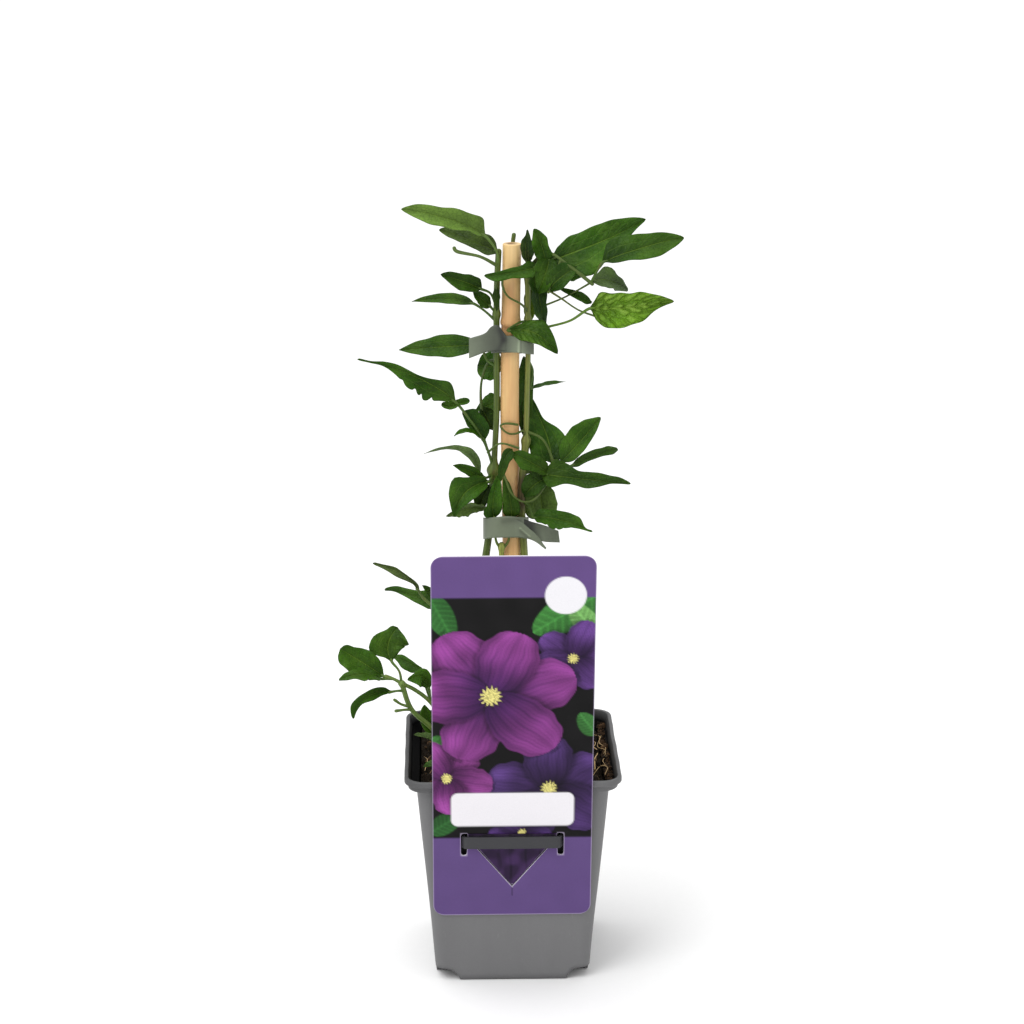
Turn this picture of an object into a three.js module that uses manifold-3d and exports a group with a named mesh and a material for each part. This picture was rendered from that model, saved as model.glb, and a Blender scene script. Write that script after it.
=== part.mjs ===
// A young clematis climber in a square nursery pot: soil, a bamboo cane, leafy stems held to the cane
// by two tape ties, a low side shoot, and a picture label that hooks on a bar moulded on the pot.
// Millimetres, +Z up, the front faces -Y. The origin is the middle of the pot's base, on the ground.

import * as THREE from "three";
import { mergeVertices } from "three/addons/utils/BufferGeometryUtils.js";
import Module from "manifold-3d";

const wasm = await Module();
wasm.setup();

// ---------------------------------------------------------------- driving dimensions

const gap = 0.35; // running clearance between neighbouring pieces

const pot = {
  height: 93.4,
  wall: 1.2,
  floor: 2,
  footHalf: 22.5, // the base stands on a cross of this half-width; its corners are cut up
  footHeight: 5,
  drainRadius: 1.9,
  drainAt: 27,
  // half-width, height and corner radius up the outside, then up the inside
  outside: [
    [32.2, 0, 5],
    [40, 87.2, 7],
    [43.4, 88.4, 8],
    [43.7, 90.5, 8],
    [45, 91, 8.5],
    [45, 92.9, 8.5],
    [44.6, 93.4, 8.2],
  ],
  inside: [
    [31.1, 2, 4],
    [38.8, 88, 6],
    [42.1, 89.3, 7],
    [43.4, 93.4, 7],
    [43.6, 94.4, 7],
  ],
};

const bar = { x: -0.6, half: 21.1, foot: 1.7, low: 63.6, high: 68.8, inner: 42.15, outer: 43.5, bow: 0.8 };

const soil = { level: 86, slope: 0.05, relief: 1.1, cells: 14 };

const cane = {
  radius: 3.84,
  path: [
    [0.3, 0, 9],
    [0.5, 0, 110],
    [0.3, 0, 182],
    [-0.5, 0, 244],
    [-0.1, 0, 276],
    [0.5, 0, 308.7],
  ],
  sides: 14,
  steps: 14,
  knot: { at: [-0.1, 0, 277], radius: 4.25, height: 2.6 },
};

const label = {
  x: -0.5,
  footY: -35.6, // the middle of the sheet at its lower edge
  footZ: 31.1,
  lean: THREE.MathUtils.degToRad(9.47),
  width: 65.8,
  height: 167,
  corner: 5,
  thick: 0.6,
  slot: { half: 21.3, top: 39.7, shoulder: 32.6, pocketFoot: 29, pocketWidth: 2.5 },
  vee: { half: 15, tip: 13.6 }, // the V cut below the bar
  kerf: 0.35,
  tongueBack: 0.75, // how far the tongue is pressed back where the bar crosses it
};

const ties = {
  thick: 0.6,
  upper: { middle: [0.5, -0.8], half: [8.7, 5.9], z: 267.3, height: 7, rise: 0.26, bulge: 0.78 },
  lower: { middle: [-2.15, -2.35], half: [9.55, 7.25], z: 189.9, height: 9, rise: 0.24, bulge: 0.6 },
};

const bladeThick = 0.8;
const bladeRows = 5;

// Leaf outlines: the blade's half-width is (share along the rib)^rise * (share left)^fall.
const lance = [0.65, 0.95];
const ovate = [0.5, 0.75];
const round = [0.5, 0.45];
const strap = [0.3, 0.35];

// The ways that blades face.
const front = [0, -0.85, 0.5];
const skyward = [0, -0.35, 0.95];
const leftward = [-0.6, -0.7, 0.4];
const rightward = [0.6, -0.7, 0.4];
const under = [0, -0.8, -0.6];

// ---------------------------------------------------------------- leafy stems
// A stem is a path and a radius. A stalk is a path from the stem. A leaf has a rib through three
// points, base, middle and tip, its full width, and the way that it faces; the stalk that a leaf
// lists runs on into the base of its rib.

const leftClimber = {
  soilHole: { at: [-9, 3], radius: 1.7 },
  stems: [
    {
      radius: 1.5,
      path: [
        [-9, 3, 76], [-9, 3, 92], [-11.6, 1, 135], [-11.2, -0.6, 170], [-9.1, -1, 188], [-7.2, -1, 214],
      ],
    },
    {
      radius: 1.2,
      path: [[-7.2, -1, 213], [-5.9, -1, 240], [-5.9, -1, 270], [-5.7, -1, 292], [-5, -1.2, 306]],
    },
  ],
  knots: [
    { at: [-7.2, -1.2, 214.5], radius: 2.8 },
    { at: [-11.7, 0.6, 141], radius: 2.1 },
    { at: [-5.8, -1, 280], radius: 1.7 },
  ],
  stalks: [
    {
      radius: 0.7,
      path: [[-5.4, -1.2, 300], [-12.5, -5, 304.5], [-22.5, -8, 307.6], [-23, -8, 308.6]],
    },
    { radius: 0.45, path: [[-9.6, -3, 222.5], [-4.5, -6, 227], [3, -5.6, 225]] },
    {
      radius: 0.6,
      path: [[-11.7, 0.5, 141], [-17, -2, 142], [-27.5, -8, 153], [-36.5, -12, 162.5]],
    },
  ],
  leaves: [
    {
      stalk: [[-5.2, -1.2, 300], [-5.7, -3, 306]],
      rib: [[-10.5, -5, 313], [-24.5, -12, 321], [-44, -17, 326]],
      left: [0.5, 2, 2, 3.5, 4.5, 5, 5, 3, 0.5],
      right: [4, 5.5, 5, 4.5, 4.5, 3.5, 3.5, 2.5, 0.5],
    },
    {
      stalk: [[-5.2, -1.2, 300]],
      rib: [[-5, -1, 305.5], [-16.5, 5, 309.5], [-29, 10, 313]],
      left: [3, 3.5, 3, 3, 2.5, 2, 0.5],
      right: [0.5, 4, 4.5, 4, 3.5, 2.5, 0.5],
    },
    {
      stalk: [[-5.8, -1, 283], [-8.5, -2, 289]],
      rib: [[-12, -4, 291], [-19.5, -8, 295], [-28.5, -11, 298.5]],
      left: [0.5, 2.5, 3.5, 4.5, 4.5, 2.5, 0.5],
      right: [2.5, 3.5, 3.5, 3, 2.5, 2, 0.5],
    },
    {
      stalk: [[-5.8, -1, 280]],
      rib: [[-8.5, -2, 283.5], [-12, -4, 287], [-15.5, -6, 290.5]],
      width: 5.6,
      shape: ovate,
    },
    {
      stalk: [[-5.9, -1, 277], [-11, 0, 281.5]],
      rib: [[-15, 1, 284], [-26.5, 7, 285], [-40.5, 14, 282.5]],
      width: 4.8,
    },
    {
      stalk: [[-5.7, -1, 295]],
      rib: [[-6, -4, 292], [-5.6, -5.2, 287], [-6, -4.8, 282]],
      width: 3.6,
      face: leftward,
    },
    {
      stalk: [[-5.9, -1, 258], [-9.8, -1, 261]],
      rib: [[-12.5, -1, 267], [-29, 4, 265.5], [-46, 10, 263]],
      width: 9.6,
    },
    {
      stalk: [[-5.9, -1, 260], [-5.4, 3.4, 257.4]],
      rib: [[-3.5, 6.2, 256], [-7.5, 8, 256], [-13.5, 10, 256.5]],
      width: 13,
      shape: round,
    },
    {
      stalk: [[-5.9, -1, 261], [-9, 2, 259.5], [-12, 3, 251]],
      rib: [[-12, 3, 240], [-9.5, 4, 235], [-7, 4.4, 230]],
      width: 7.4,
    },
    {
      stalk: [[-5.9, -1, 247], [-6.4, 3, 245.5]],
      rib: [[-4, 6, 243], [-8, 6.5, 240.5], [-14.5, 7, 238]],
      width: 9,
    },
    {
      stalk: [[-7.2, -1, 215], [-11, -4.6, 227]],
      rib: [[-22.5, -9, 245], [-38.5, -16, 257.5], [-62, -25, 267]],
      left: [0.5, 2.5, 4.5, 7, 8, 7.5, 6, 2.5, 0.5, 0.5, 0.5],
      right: [0.5, 3, 4.5, 3, 1.5, 1, 1.5, 2, 1.5, 0.4, 0.5],
    },
    {
      rib: [[-21.5, -8.6, 245], [-25, -8.4, 243.6], [-28.5, -8, 244.5]],
      width: 3.4,
      shape: strap,
      rows: 4,
    },
    {
      rib: [[-23, -9, 245], [-20, -7.5, 245], [-17, -6.4, 245.5]],
      width: 3,
      shape: strap,
      rows: 4,
    },
    {
      stalk: [[-10.4, -4.2, 226]],
      rib: [[-11, -5, 228], [-15, -5, 235], [-20, -4, 240]],
      left: [0.5, 2, 2.5, 3, 2, 0.5],
      right: [1, 4, 4.5, 4.5, 4, 0.5],
    },
    {
      stalk: [[-9.9, -3.5, 224]],
      rib: [[-11, -5, 228], [-17.5, -9, 233], [-23.5, -13, 232]],
      width: 4.2,
      face: skyward,
    },
    {
      stalk: [[-7.2, -1, 214], [-10, -2, 211.5]],
      rib: [[-13, -3, 213.5], [-20, 5, 221.5], [-36, 13, 218]],
      width: 4.6,
      face: skyward,
    },
    {
      stalk: [[-7.2, -1, 213]],
      rib: [[-11, -5, 212], [-18, -9, 216.5], [-24, -14, 220]],
      width: 4.6,
    },
    {
      stalk: [[-7.2, -1, 213]],
      rib: [[-9, -6, 211], [-18.5, -13, 208.5], [-23.5, -17, 199]],
      left: [0.5, 3.5, 4.5, 5, 4, 2, 0.5],
      right: [0.5, 3, 4, 7, 6, 3, 0.5],
    },
    {
      stalk: [[-8.3, -1, 202]],
      rib: [[-10, -4, 198.5], [-18, -6, 199.5], [-27, -9, 197]],
      left: [0.5, 2, 3, 4, 3.5, 2.5, 0.4],
      right: [0.5, 4, 5, 5, 4, 3, 0.4],
      face: under,
    },
    {
      stalk: [[-7.3, -1, 212]],
      rib: [[-8, -2, 208.5], [-11.4, -3.2, 203.5], [-13.4, -3.2, 197.5]],
      left: [0.5, 2, 2.5, 2.5, 2, 0.5],
      right: [0.5, 3, 4.5, 4, 2.5, 0.5],
    },
    // the upper side shoot, which comes out behind the label
    {
      stalk: [[-36.5, -12, 162.5], [-38, -13, 165]],
      rib: [[-38.5, -14, 166.5], [-45, -19, 175.5], [-57, -24, 181.5]],
      left: [0.5, 0.5, 1.5, 2.5, 2.5, 1.5, 0.5],
      right: [1, 1, 0.5, 0.5, 1, 0.5, 0.5],
    },
    {
      stalk: [[-27.5, -8, 153]],
      rib: [[-30.5, -9, 158], [-42, -3, 161.5], [-53, 4, 161.5]],
      left: [3, 3, 2.5, 1.5, 0.4, 0.5],
      right: [0.5, 4, 2.5, 2, 2, 0.5],
    },
    {
      stalk: [[-30, -9.3, 156]],
      rib: [[-32, -10, 162], [-34.5, -12, 166], [-37, -13, 168.5]],
      width: 3,
    },
  ],
};

const middleClimber = {
  soilHole: { at: [-5, -6], radius: 1.2 },
  stems: [
    {
      radius: 1,
      path: [[-5, -6, 76], [-5, -6, 92], [-4.8, -5.7, 130], [-4.3, -5.4, 165], [-4, -5.6, 183.5]],
    },
  ],
  knots: [{ at: [-4, -5.6, 182.5], radius: 1.5 }],
  stalks: [],
  leaves: [
    {
      stalk: [[-4, -5.6, 181.5], [-6.2, -5.9, 185]],
      rib: [[-7, -6.5, 195], [-7.5, -8, 203.5], [-5, -6.5, 214]],
      left: [0.5, 4, 2.5, 2, 1.5, 0.5],
      right: [0.5, 3, 4, 3.5, 2.5, 0.5],
      fold: 0.3,
    },
    {
      stalk: [[-4, -5.6, 181.5], [-1.4, -5.9, 185]],
      rib: [[0, -6.5, 195], [-0.5, -8, 203.5], [-3, -6.5, 213]],
      left: [0.5, 3.5, 3.5, 3, 2, 0.5],
      right: [0.5, 3.5, 3.5, 2, 1.5, 0.5],
      fold: 0.3,
    },
  ],
};

const rightClimber = {
  soilHole: { at: [8, 3], radius: 1.7 },
  stems: [
    {
      radius: 1.5,
      path: [
        [8, 3, 76], [8, 3, 92], [7.4, 2, 130], [6.2, -0.8, 165], [5.3, -2.8, 182], [4.3, -4, 197],
        [4.3, -3.8, 206], [4.9, -3.2, 214], [6.2, -1, 227],
      ],
    },
    {
      radius: 1.05,
      path: [
        [6.2, -1, 226], [6.6, -1, 245], [7, -1, 262], [6.9, -1, 280], [6.8, -1.5, 298], [7.2, -2.4, 306],
      ],
    },
  ],
  knots: [
    { at: [6.3, -1, 227], radius: 2 },
    { at: [6.9, -1.1, 278], radius: 1.7 },
  ],
  stalks: [
    // the long leaf stalk at the top that forks to the right
    { radius: 0.7, path: [[6.8, -1.6, 299], [14.5, -5, 306], [23, -9, 301.5], [32.5, -12, 294.5]] },
    { radius: 0.6, path: [[20, -7.6, 303.4], [18, -9, 298], [15, -8, 290.5]] },
    // a cut shoot that comes up behind the cane
    {
      radius: 0.8,
      path: [[6.8, -1, 290], [5.6, 3.6, 296], [1.8, 5.4, 302.5], [1, 5, 308], [1.4, 5, 311.6]],
    },
    // the lower leaf stalk that carries the dense leaf
    { radius: 0.7, path: [[4.9, -3.2, 213.5], [12, -3.4, 215.5], [19.5, -6, 216.8]] },
    { radius: 0.55, path: [[6.2, -1, 231], [13, -4, 228], [18, -6, 217.5]] },
    // leaf stalks that twine over the cane
    {
      radius: 0.45,
      path: [[6.9, -1, 281], [4, -5, 285], [-1.5, -6, 288.5], [-3.6, -6.6, 293], [-3.2, -8, 298]],
    },
    {
      radius: 0.45,
      path: [
        [6.2, -1, 228], [4.9, -2.8, 231.5], [2.5, -4.7, 231], [-0.5, -5.2, 230.9], [-3.2, -4.7, 232.3],
        [-4.3, -4, 234], [-3, -4.8, 235], [-0.5, -5.2, 235.2], [2.5, -4.7, 234.6],
      ],
    },
    {
      radius: 0.45,
      path: [[14.5, -6.2, 210], [9, -8.6, 203.5], [4, -10, 203.5], [0, -10.4, 207], [-3, -10, 214.5]],
    },
    { radius: 0.4, path: [[12.6, -5, 284], [21, -5.4, 287.5], [26, -7, 290.5], [32, -11.4, 295]] },
    { radius: 0.4, path: [[15.6, -8, 290.8], [20, -8.4, 288], [27, -10, 283.5], [34.5, -12, 281]] },
  ],
  leaves: [
    {
      stalk: [[6.8, -1.4, 296], [9.5, -4, 299.5]],
      rib: [[10.5, -6, 300.5], [0.5, -8, 298.5], [-11, -9, 297.5]],
      left: [0.5, 4, 3.5, 2.5, 3, 3, 0.5],
      right: [3.5, 3, 2, 2, 1.5, 1, 0.5],
    },
    {
      stalk: [[7.2, -2.2, 299]],
      rib: [[6.4, -3.5, 301.5], [5.8, -5, 309], [6.6, -5, 315.5]],
      left: [0.5, 2, 2.5, 2, 0.5, 0.5],
      right: [0.5, 4, 5.5, 4, 2.5, 0.5],
      face: leftward,
    },
    {
      stalk: [[7.1, -2.2, 301]],
      rib: [[14, -5, 302], [12, -7, 310], [9, -9, 316.5]],
      left: [0.5, 3.5, 4, 4.5, 3, 0.5],
      right: [1.5, 3, 2.5, 3, 2, 0.5],
      fold: 0.35,
    },
    {
      stalk: [[14.5, -5, 306]],
      rib: [[16, -4, 303], [35.5, 5, 308], [55.5, 13, 316.5]],
      left: [2, 4.5, 6.5, 7, 7, 6.5, 5.5, 4, 0.5],
      right: [13, 12, 13, 11, 8, 5.5, 4, 2, 0.5],
    },
    {
      stalk: [[32, -12, 295], [34, -13, 299.5]],
      rib: [[36.5, -13, 303.5], [52.5, -16, 310], [69, -14, 313.5]],
      left: [2.5, 7, 7.5, 6, 5, 4, 3, 0.5],
      right: [0.5, 2.5, 3.5, 5, 5.5, 5, 3.5, 0.5],
    },
    {
      stalk: [[32, -12, 295]],
      rib: [[32.5, -11, 295.5], [40.5, -3, 294], [48, 4, 288.5]],
      left: [0.5, 3, 5.5, 3, 2, 0.5],
      right: [3, 4.5, 5, 4, 2.5, 0.5],
    },
    {
      rib: [[15, -8, 291], [19.5, -10, 296.5], [26.5, -9, 301]],
      left: [0.5, 3, 4.5, 4.5, 4, 0.5],
      right: [1, 3, 4.5, 4, 3, 0.5],
    },
    {
      stalk: [[11, -3.6, 304]],
      rib: [[12, -3, 298.5], [11.5, -6, 287.5], [13.5, -9, 276]],
      left: [2.5, 4, 3.5, 2.5, 2.5, 0.5],
      right: [0.5, 7.5, 6, 4.5, 4, 0.5],
      face: rightward,
    },
    {
      stalk: [[14.5, -5, 306]],
      rib: [[15.5, -5, 304], [13.5, -7, 297], [10.5, -6, 289.5]],
      left: [2.5, 4, 4.5, 4, 3.5, 0.5],
      right: [3, 4.5, 5, 4, 2.5, 0.5],
      fold: 0.3,
    },
    {
      stalk: [[6.9, -1, 293]],
      rib: [[8, 2, 291], [8, 3, 283.5], [8, 3, 276]],
      left: [0.5, 1.5, 2, 2, 0.5],
      right: [0.5, 2.5, 2.5, 2.5, 0.5],
    },
    {
      stalk: [[6.9, -1, 273], [16, -5, 275.8], [24, -9, 279]],
      rib: [[31.5, -12, 284.5], [47.5, -17, 286], [65, -18, 288.5]],
      left: [2.5, 6.5, 6.5, 6, 5.5, 5.5, 4.5, 3, 0.5],
      right: [1, 6, 9, 9.5, 8, 6.5, 3.5, 1.5, 0.5],
    },
    {
      rib: [[32.5, -8, 286], [26.5, -6, 289], [20, -4, 291]],
      left: [2, 2, 2, 1.5, 0.5],
      right: [0.5, 1.5, 1.5, 1, 0.5],
    },
    {
      stalk: [[6.9, -1, 277], [3.5, -5.2, 277.5]],
      rib: [[-1.5, -7, 274.5], [9, -12, 274.5], [18.5, -15, 266.5]],
      left: [0.5, 1.5, 4, 6, 5, 3, 0.5],
      right: [0.5, 3.5, 5, 4.5, 3.5, 2.5, 0.5],
    },
    // behind and beside the right stem
    {
      stalk: [[18, -6, 217.5]],
      rib: [[17, -3, 218], [14.5, 4, 229], [7.5, 7, 244.5]],
      left: [6, 8.5, 8.5, 7.5, 7.5, 6, 0.5],
      right: [4, 7, 7.5, 5.5, 1.5, 1, 0.5],
    },
    {
      stalk: [[6.2, -1, 223]],
      rib: [[6.5, 3, 225], [6.5, 6, 242.5], [5.5, 6, 261]],
      left: [0.5, 3, 3.5, 3.5, 3, 0.5],
      right: [0.5, 2, 2.5, 3, 3.5, 0.5],
    },
    {
      stalk: [[7, -1, 261], [9, 0.4, 256]],
      rib: [[8, 1, 248.5], [15.5, 6, 249.3], [23, 11, 249]],
      width: 3,
      face: skyward,
    },
    // the dense leaf on the right
    {
      rib: [[20, -6, 218.5], [29, 3, 225.5], [37.5, 10, 234]],
      left: [0.5, 4.5, 6, 6.5, 5.5, 4, 0.5],
      right: [0.5, 3.5, 4, 3.5, 3, 2, 0.5],
    },
    {
      stalk: [[19.5, -6, 216.8]],
      rib: [[24.5, -5, 217], [36, 4, 219.5], [45, 11, 220]],
      left: [0.5, 2, 2.5, 2, 2, 0.5],
      right: [2, 1.5, 1.5, 1.5, 2, 0.5],
    },
    {
      stalk: [[9, -3.2, 214.8]],
      rib: [[12.5, -6, 214], [31.5, -12, 213], [48.5, -17, 212.5]],
      left: [2.5, 6, 5.5, 3, 3, 3, 2.5, 2, 0.5],
      right: [3.5, 6, 3.5, 3.5, 4, 3, 1, 0.5, 0.5],
    },
    {
      rib: [[15, -6, 214.5], [7.5, -9, 220], [0, -8, 223.5]],
      left: [2.5, 2.5, 3.5, 5, 3, 0.5],
      right: [2, 3.5, 3.5, 3, 2.5, 0.5],
    },
    {
      rib: [[0.5, -9, 225], [-3, -10, 221], [-4.5, -10, 212]],
      left: [2, 3, 2.5, 2, 0.5],
      right: [1, 2, 1.5, 1.5, 0.5],
      fold: 0.3,
    },
    {
      stalk: [[12, -3.4, 215.5]],
      rib: [[15, -5, 212], [10, -6, 209.5], [5, -5, 204]],
      left: [0.5, 3, 3.5, 4, 3, 0.5],
      right: [0.5, 4, 5, 5, 3.5, 0.5],
    },
    {
      stalk: [[11, -3.3, 215.2]],
      rib: [[12.5, 0, 209], [12.5, 1, 201], [13.5, 2, 193]],
      left: [3, 5.5, 6.5, 6.5, 3],
      right: [3, 6, 7, 7, 4],
    },
    {
      stalk: [[4.4, -3.9, 202], [7.4, -6.2, 200]],
      rib: [[9, -8, 196], [20, -14, 196.5], [33, -18, 192.5]],
      left: [1.5, 3, 3.5, 3.5, 3.5, 3.5, 3.5, 3, 0.4, 0.5],
      right: [1, 2.5, 3, 4, 5, 4.5, 2.5, 1.5, 1, 0.5],
    },
  ],
};

const lowShoot = {
  soilHole: { at: [-22, -1], radius: 1.3 },
  stems: [
    {
      radius: 1.05,
      path: [
        [-22, -1, 76], [-22, -1, 86], [-26, -2, 92.5], [-33.5, -4, 102.5], [-42, -8, 112.5], [-46, -12, 125.5],
      ],
    },
    {
      radius: 0.85,
      path: [[-22.3, -1, 87], [-27, -2, 101.5], [-34, -5, 114.5], [-40.5, -9, 121.5], [-46, -12, 125.5]],
    },
  ],
  knots: [{ at: [-46, -12, 125.5], radius: 1.5 }],
  stalks: [
    { radius: 0.75, path: [[-46, -12, 125.5], [-49.5, -13.4, 128], [-52.5, -14, 129.3]] },
    { radius: 0.6, path: [[-43, -8.8, 114], [-46.5, -11, 116], [-49, -13, 118.5]] },
    { radius: 0.6, path: [[-42, -8.2, 112.6], [-45.5, -11.4, 113.5], [-48.5, -14, 114]] },
  ],
  leaves: [
    {
      stalk: [[-46, -12, 125.5], [-47, -12.4, 131]],
      rib: [[-50, -12, 135], [-51.5, -9, 141.5], [-47.5, -7, 148.5]],
      left: [0.5, 2, 7.5, 7.5, 5.5, 3, 0.5],
      right: [1, 4.5, 6, 7, 7.5, 8.5, 0.5],
    },
    {
      stalk: [[-49.5, -13.4, 128]],
      rib: [[-53, -14, 129], [-62.5, -12, 135], [-71.5, -11, 140.5]],
      left: [0.5, 3.5, 5, 6.5, 6, 0.5],
      right: [0.5, 4, 5.5, 5, 3.5, 0.5],
    },
    {
      stalk: [[-49.5, -13.4, 128]],
      rib: [[-54, -15, 128.5], [-63, -22, 133], [-71.5, -28, 132.5]],
      left: [0.5, 4.5, 4.5, 7.5, 3.5, 0.5],
      right: [1.5, 0.5, 1.5, 3, 2, 0.5],
      face: skyward,
    },
    {
      stalk: [[-45.4, -11.4, 122], [-48, -13, 122.5]],
      rib: [[-50, -14, 122.5], [-60.5, -21, 122.5], [-66, -26, 115]],
      left: [0.5, 1.5, 2.5, 2.5, 1, 0.5, 0.5],
      right: [0.5, 2, 2, 2, 2.5, 2.5, 0.5],
    },
    {
      stalk: [[-33, -4.4, 112.5], [-36, -3.6, 121]],
      rib: [[-37, -2, 127.5], [-43.5, 3, 129.5], [-49.5, 8, 130.5]],
      left: [0.5, 3, 3.5, 3, 1.5, 0.5],
      right: [1, 1, 1.5, 2, 2, 0.5],
    },
    {
      stalk: [[-34, -5, 114.5]],
      rib: [[-34.5, -6, 120.5], [-37.5, -8, 127], [-43.5, -11, 126.5]],
      left: [0.5, 3.5, 4.5, 5, 0.5],
      right: [0.5, 2.5, 3.5, 1.5, 0.5],
    },
    {
      stalk: [[-29, -2.6, 96.5]],
      rib: [[-32, -3.4, 99.5], [-35.5, -2.4, 106], [-36.5, -1, 112]],
      width: 6.4,
      shape: ovate,
    },
    {
      stalk: [[-25, -1.8, 91]],
      rib: [[-29, -8, 98], [-36, -12, 101.5], [-41, -16, 104]],
      width: 5,
      face: skyward,
    },
    {
      stalk: [[-22.4, -1, 88]],
      rib: [[-26, -14, 91], [-32, -24, 94], [-37, -30, 95]],
      width: 5.4,
      face: skyward,
    },
  ],
};

// ---------------------------------------------------------------- shape helpers

const vec = (p) => new THREE.Vector3(...p);

// A closed mesh as a solid that can be joined and cut.
function solid(geometry) {
  const bare = new THREE.BufferGeometry();
  bare.setAttribute("position", geometry.getAttribute("position"));
  bare.setIndex(geometry.index);
  const merged = mergeVertices(bare, 1e-4);
  return new wasm.Manifold(
    new wasm.Mesh({
      numProp: 3,
      vertProperties: merged.attributes.position.array,
      triVerts: new Uint32Array(merged.index.array),
    }),
  );
}

// A solid back as a geometry with flat faces.
function geometryOf(body) {
  const mesh = body.getMesh();
  const points = new Float32Array(mesh.numVert * 3);
  for (let i = 0; i < mesh.numVert; i += 1) {
    points.set(mesh.vertProperties.subarray(i * mesh.numProp, i * mesh.numProp + 3), i * 3);
  }
  const geometry = new THREE.BufferGeometry();
  geometry.setAttribute("position", new THREE.BufferAttribute(points, 3));
  geometry.setIndex(new THREE.BufferAttribute(new Uint32Array(mesh.triVerts), 1));
  return geometry;
}

const join = (bodies) => bodies.reduce((sum, body) => sum.add(body));

function indexed(points, triangles) {
  const geometry = new THREE.BufferGeometry();
  geometry.setAttribute("position", new THREE.Float32BufferAttribute(points.flatMap((p) => p.toArray()), 3));
  geometry.setIndex(triangles);
  return geometry;
}

// Rings of equal count, anticlockwise seen from above, stacked upwards and closed at both ends.
function loft(rings) {
  const count = rings[0].length;
  const triangles = [];
  for (let i = 0; i + 1 < rings.length; i += 1) {
    for (let k = 0; k < count; k += 1) {
      const a = i * count + k;
      const b = i * count + ((k + 1) % count);
      triangles.push(a, b, b + count, a, b + count, a + count);
    }
  }
  const top = (rings.length - 1) * count;
  for (let k = 1; k + 1 < count; k += 1) {
    triangles.push(0, k + 1, k, top, top + k, top + k + 1);
  }
  return indexed(rings.flat(), triangles);
}

// A square with round corners, anticlockwise, at height z.
function squareRing(half, z, corner, arcSteps = 4) {
  const ring = [];
  for (let quarter = 0; quarter < 4; quarter += 1) {
    for (let k = 0; k <= arcSteps; k += 1) {
      const angle = ((quarter + k / arcSteps) * Math.PI) / 2;
      const turn = ((quarter + 0.5) * Math.PI) / 2;
      const centre = (half - corner) * Math.SQRT2;
      ring.push(
        new THREE.Vector3(
          centre * Math.cos(turn) + corner * Math.cos(angle),
          centre * Math.sin(turn) + corner * Math.sin(angle),
          z,
        ),
      );
    }
  }
  return ring;
}

// A thin closed sheet about a grid of points, split into triangles alike on both faces.
function sheet(rows, thick) {
  const across = rows[0].length;
  const count = rows.length * across;
  const at = (i, j) => rows[Math.min(Math.max(i, 0), rows.length - 1)][Math.min(Math.max(j, 0), across - 1)];
  const upper = [];
  const lower = [];
  rows.forEach((row, i) =>
    row.forEach((point, j) => {
      const along = at(i + 1, j).clone().sub(at(i - 1, j));
      const side = at(i, j + 1).clone().sub(at(i, j - 1));
      const normal = along.cross(side).setLength(thick / 2);
      upper.push(point.clone().add(normal));
      lower.push(point.clone().sub(normal));
    }),
  );
  const triangles = [];
  const quad = (a, b, c, d) => triangles.push(a, b, c, a, c, d);
  for (let i = 0; i + 1 < rows.length; i += 1) {
    for (let j = 0; j + 1 < across; j += 1) {
      const a = i * across + j;
      const [b, c, d] = [a + across, a + across + 1, a + 1];
      triangles.push(a, b, c, a, c, d);
      triangles.push(count + a, count + c, count + b, count + a, count + d, count + c);
    }
    const near = i * across;
    const far = near + across - 1;
    quad(near, count + near, count + near + across, near + across);
    quad(far, far + across, count + far + across, count + far);
  }
  for (let j = 0; j + 1 < across; j += 1) {
    const last = (rows.length - 1) * across + j;
    quad(j, j + 1, count + j + 1, count + j);
    quad(last, count + last, count + last + 1, last + 1);
  }
  return indexed([...upper, ...lower], triangles);
}

// A rod of even thickness along a smooth path.
function rod(path, radius, sides, steps) {
  const section = new THREE.Shape();
  for (let k = 0; k < sides; k += 1) {
    const angle = (2 * Math.PI * k) / sides;
    const [x, y] = [radius * Math.cos(angle), radius * Math.sin(angle)];
    if (k === 0) section.moveTo(x, y);
    else section.lineTo(x, y);
  }
  section.closePath();
  const curve = new THREE.CatmullRomCurve3(path.map(vec));
  return new THREE.ExtrudeGeometry(section, { steps, extrudePath: curve, curveSegments: 1 });
}

const pathLength = (path) => path.slice(1).reduce((sum, p, i) => sum + vec(p).distanceTo(vec(path[i])), 0);

// One blade: the midrib is a smooth curve through base, middle and tip, the two halves fold up from it
// in a shallow V, and their edges wave a little, out of step with each other.
// Its half-widths come from the shape and the width, or from the measured lists of its left and right
// sides, at even steps from base to tip.
function blade({
  rib, width, left, right, face = front, shape = lance, fold = 0.22, wave = 0.1, rows = bladeRows,
}) {
  const [base, middle, tip] = rib.map(vec);
  const pull = middle.clone().multiplyScalar(2).sub(base.clone().add(tip).multiplyScalar(0.5));
  const curve = new THREE.QuadraticBezierCurve3(base, pull, tip);
  const [rise, fall] = shape;
  const widest = rise / (rise + fall);
  const full = widest ** rise * (1 - widest) ** fall;
  const steps = left ? left.length - 1 : rows;
  const grid = [];
  for (let i = 0; i <= steps; i += 1) {
    const s = i / steps;
    const along = curve.getTangent(s);
    const side = vec(face).cross(along).normalize();
    const normal = along.clone().cross(side);
    const even = Math.max((width / 2) * ((s ** rise * (1 - s) ** fall) / full), s < 0.5 ? 0.7 : 0.4);
    grid.push(
      [-1, 0, 1].map((t) => {
        const measured = t > 0 ? left : right;
        const half = measured ? measured[i] : even;
        const ripple = t === 0 ? 0 : wave * Math.sin(2 * Math.PI * (1.6 * s + 0.25 * t));
        const lift = half * (fold * Math.abs(t) + ripple);
        return curve.getPoint(s).addScaledVector(side, t * half).addScaledVector(normal, lift);
      }),
    );
  }
  return sheet(grid, bladeThick);
}

// ---------------------------------------------------------------- pieces

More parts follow.
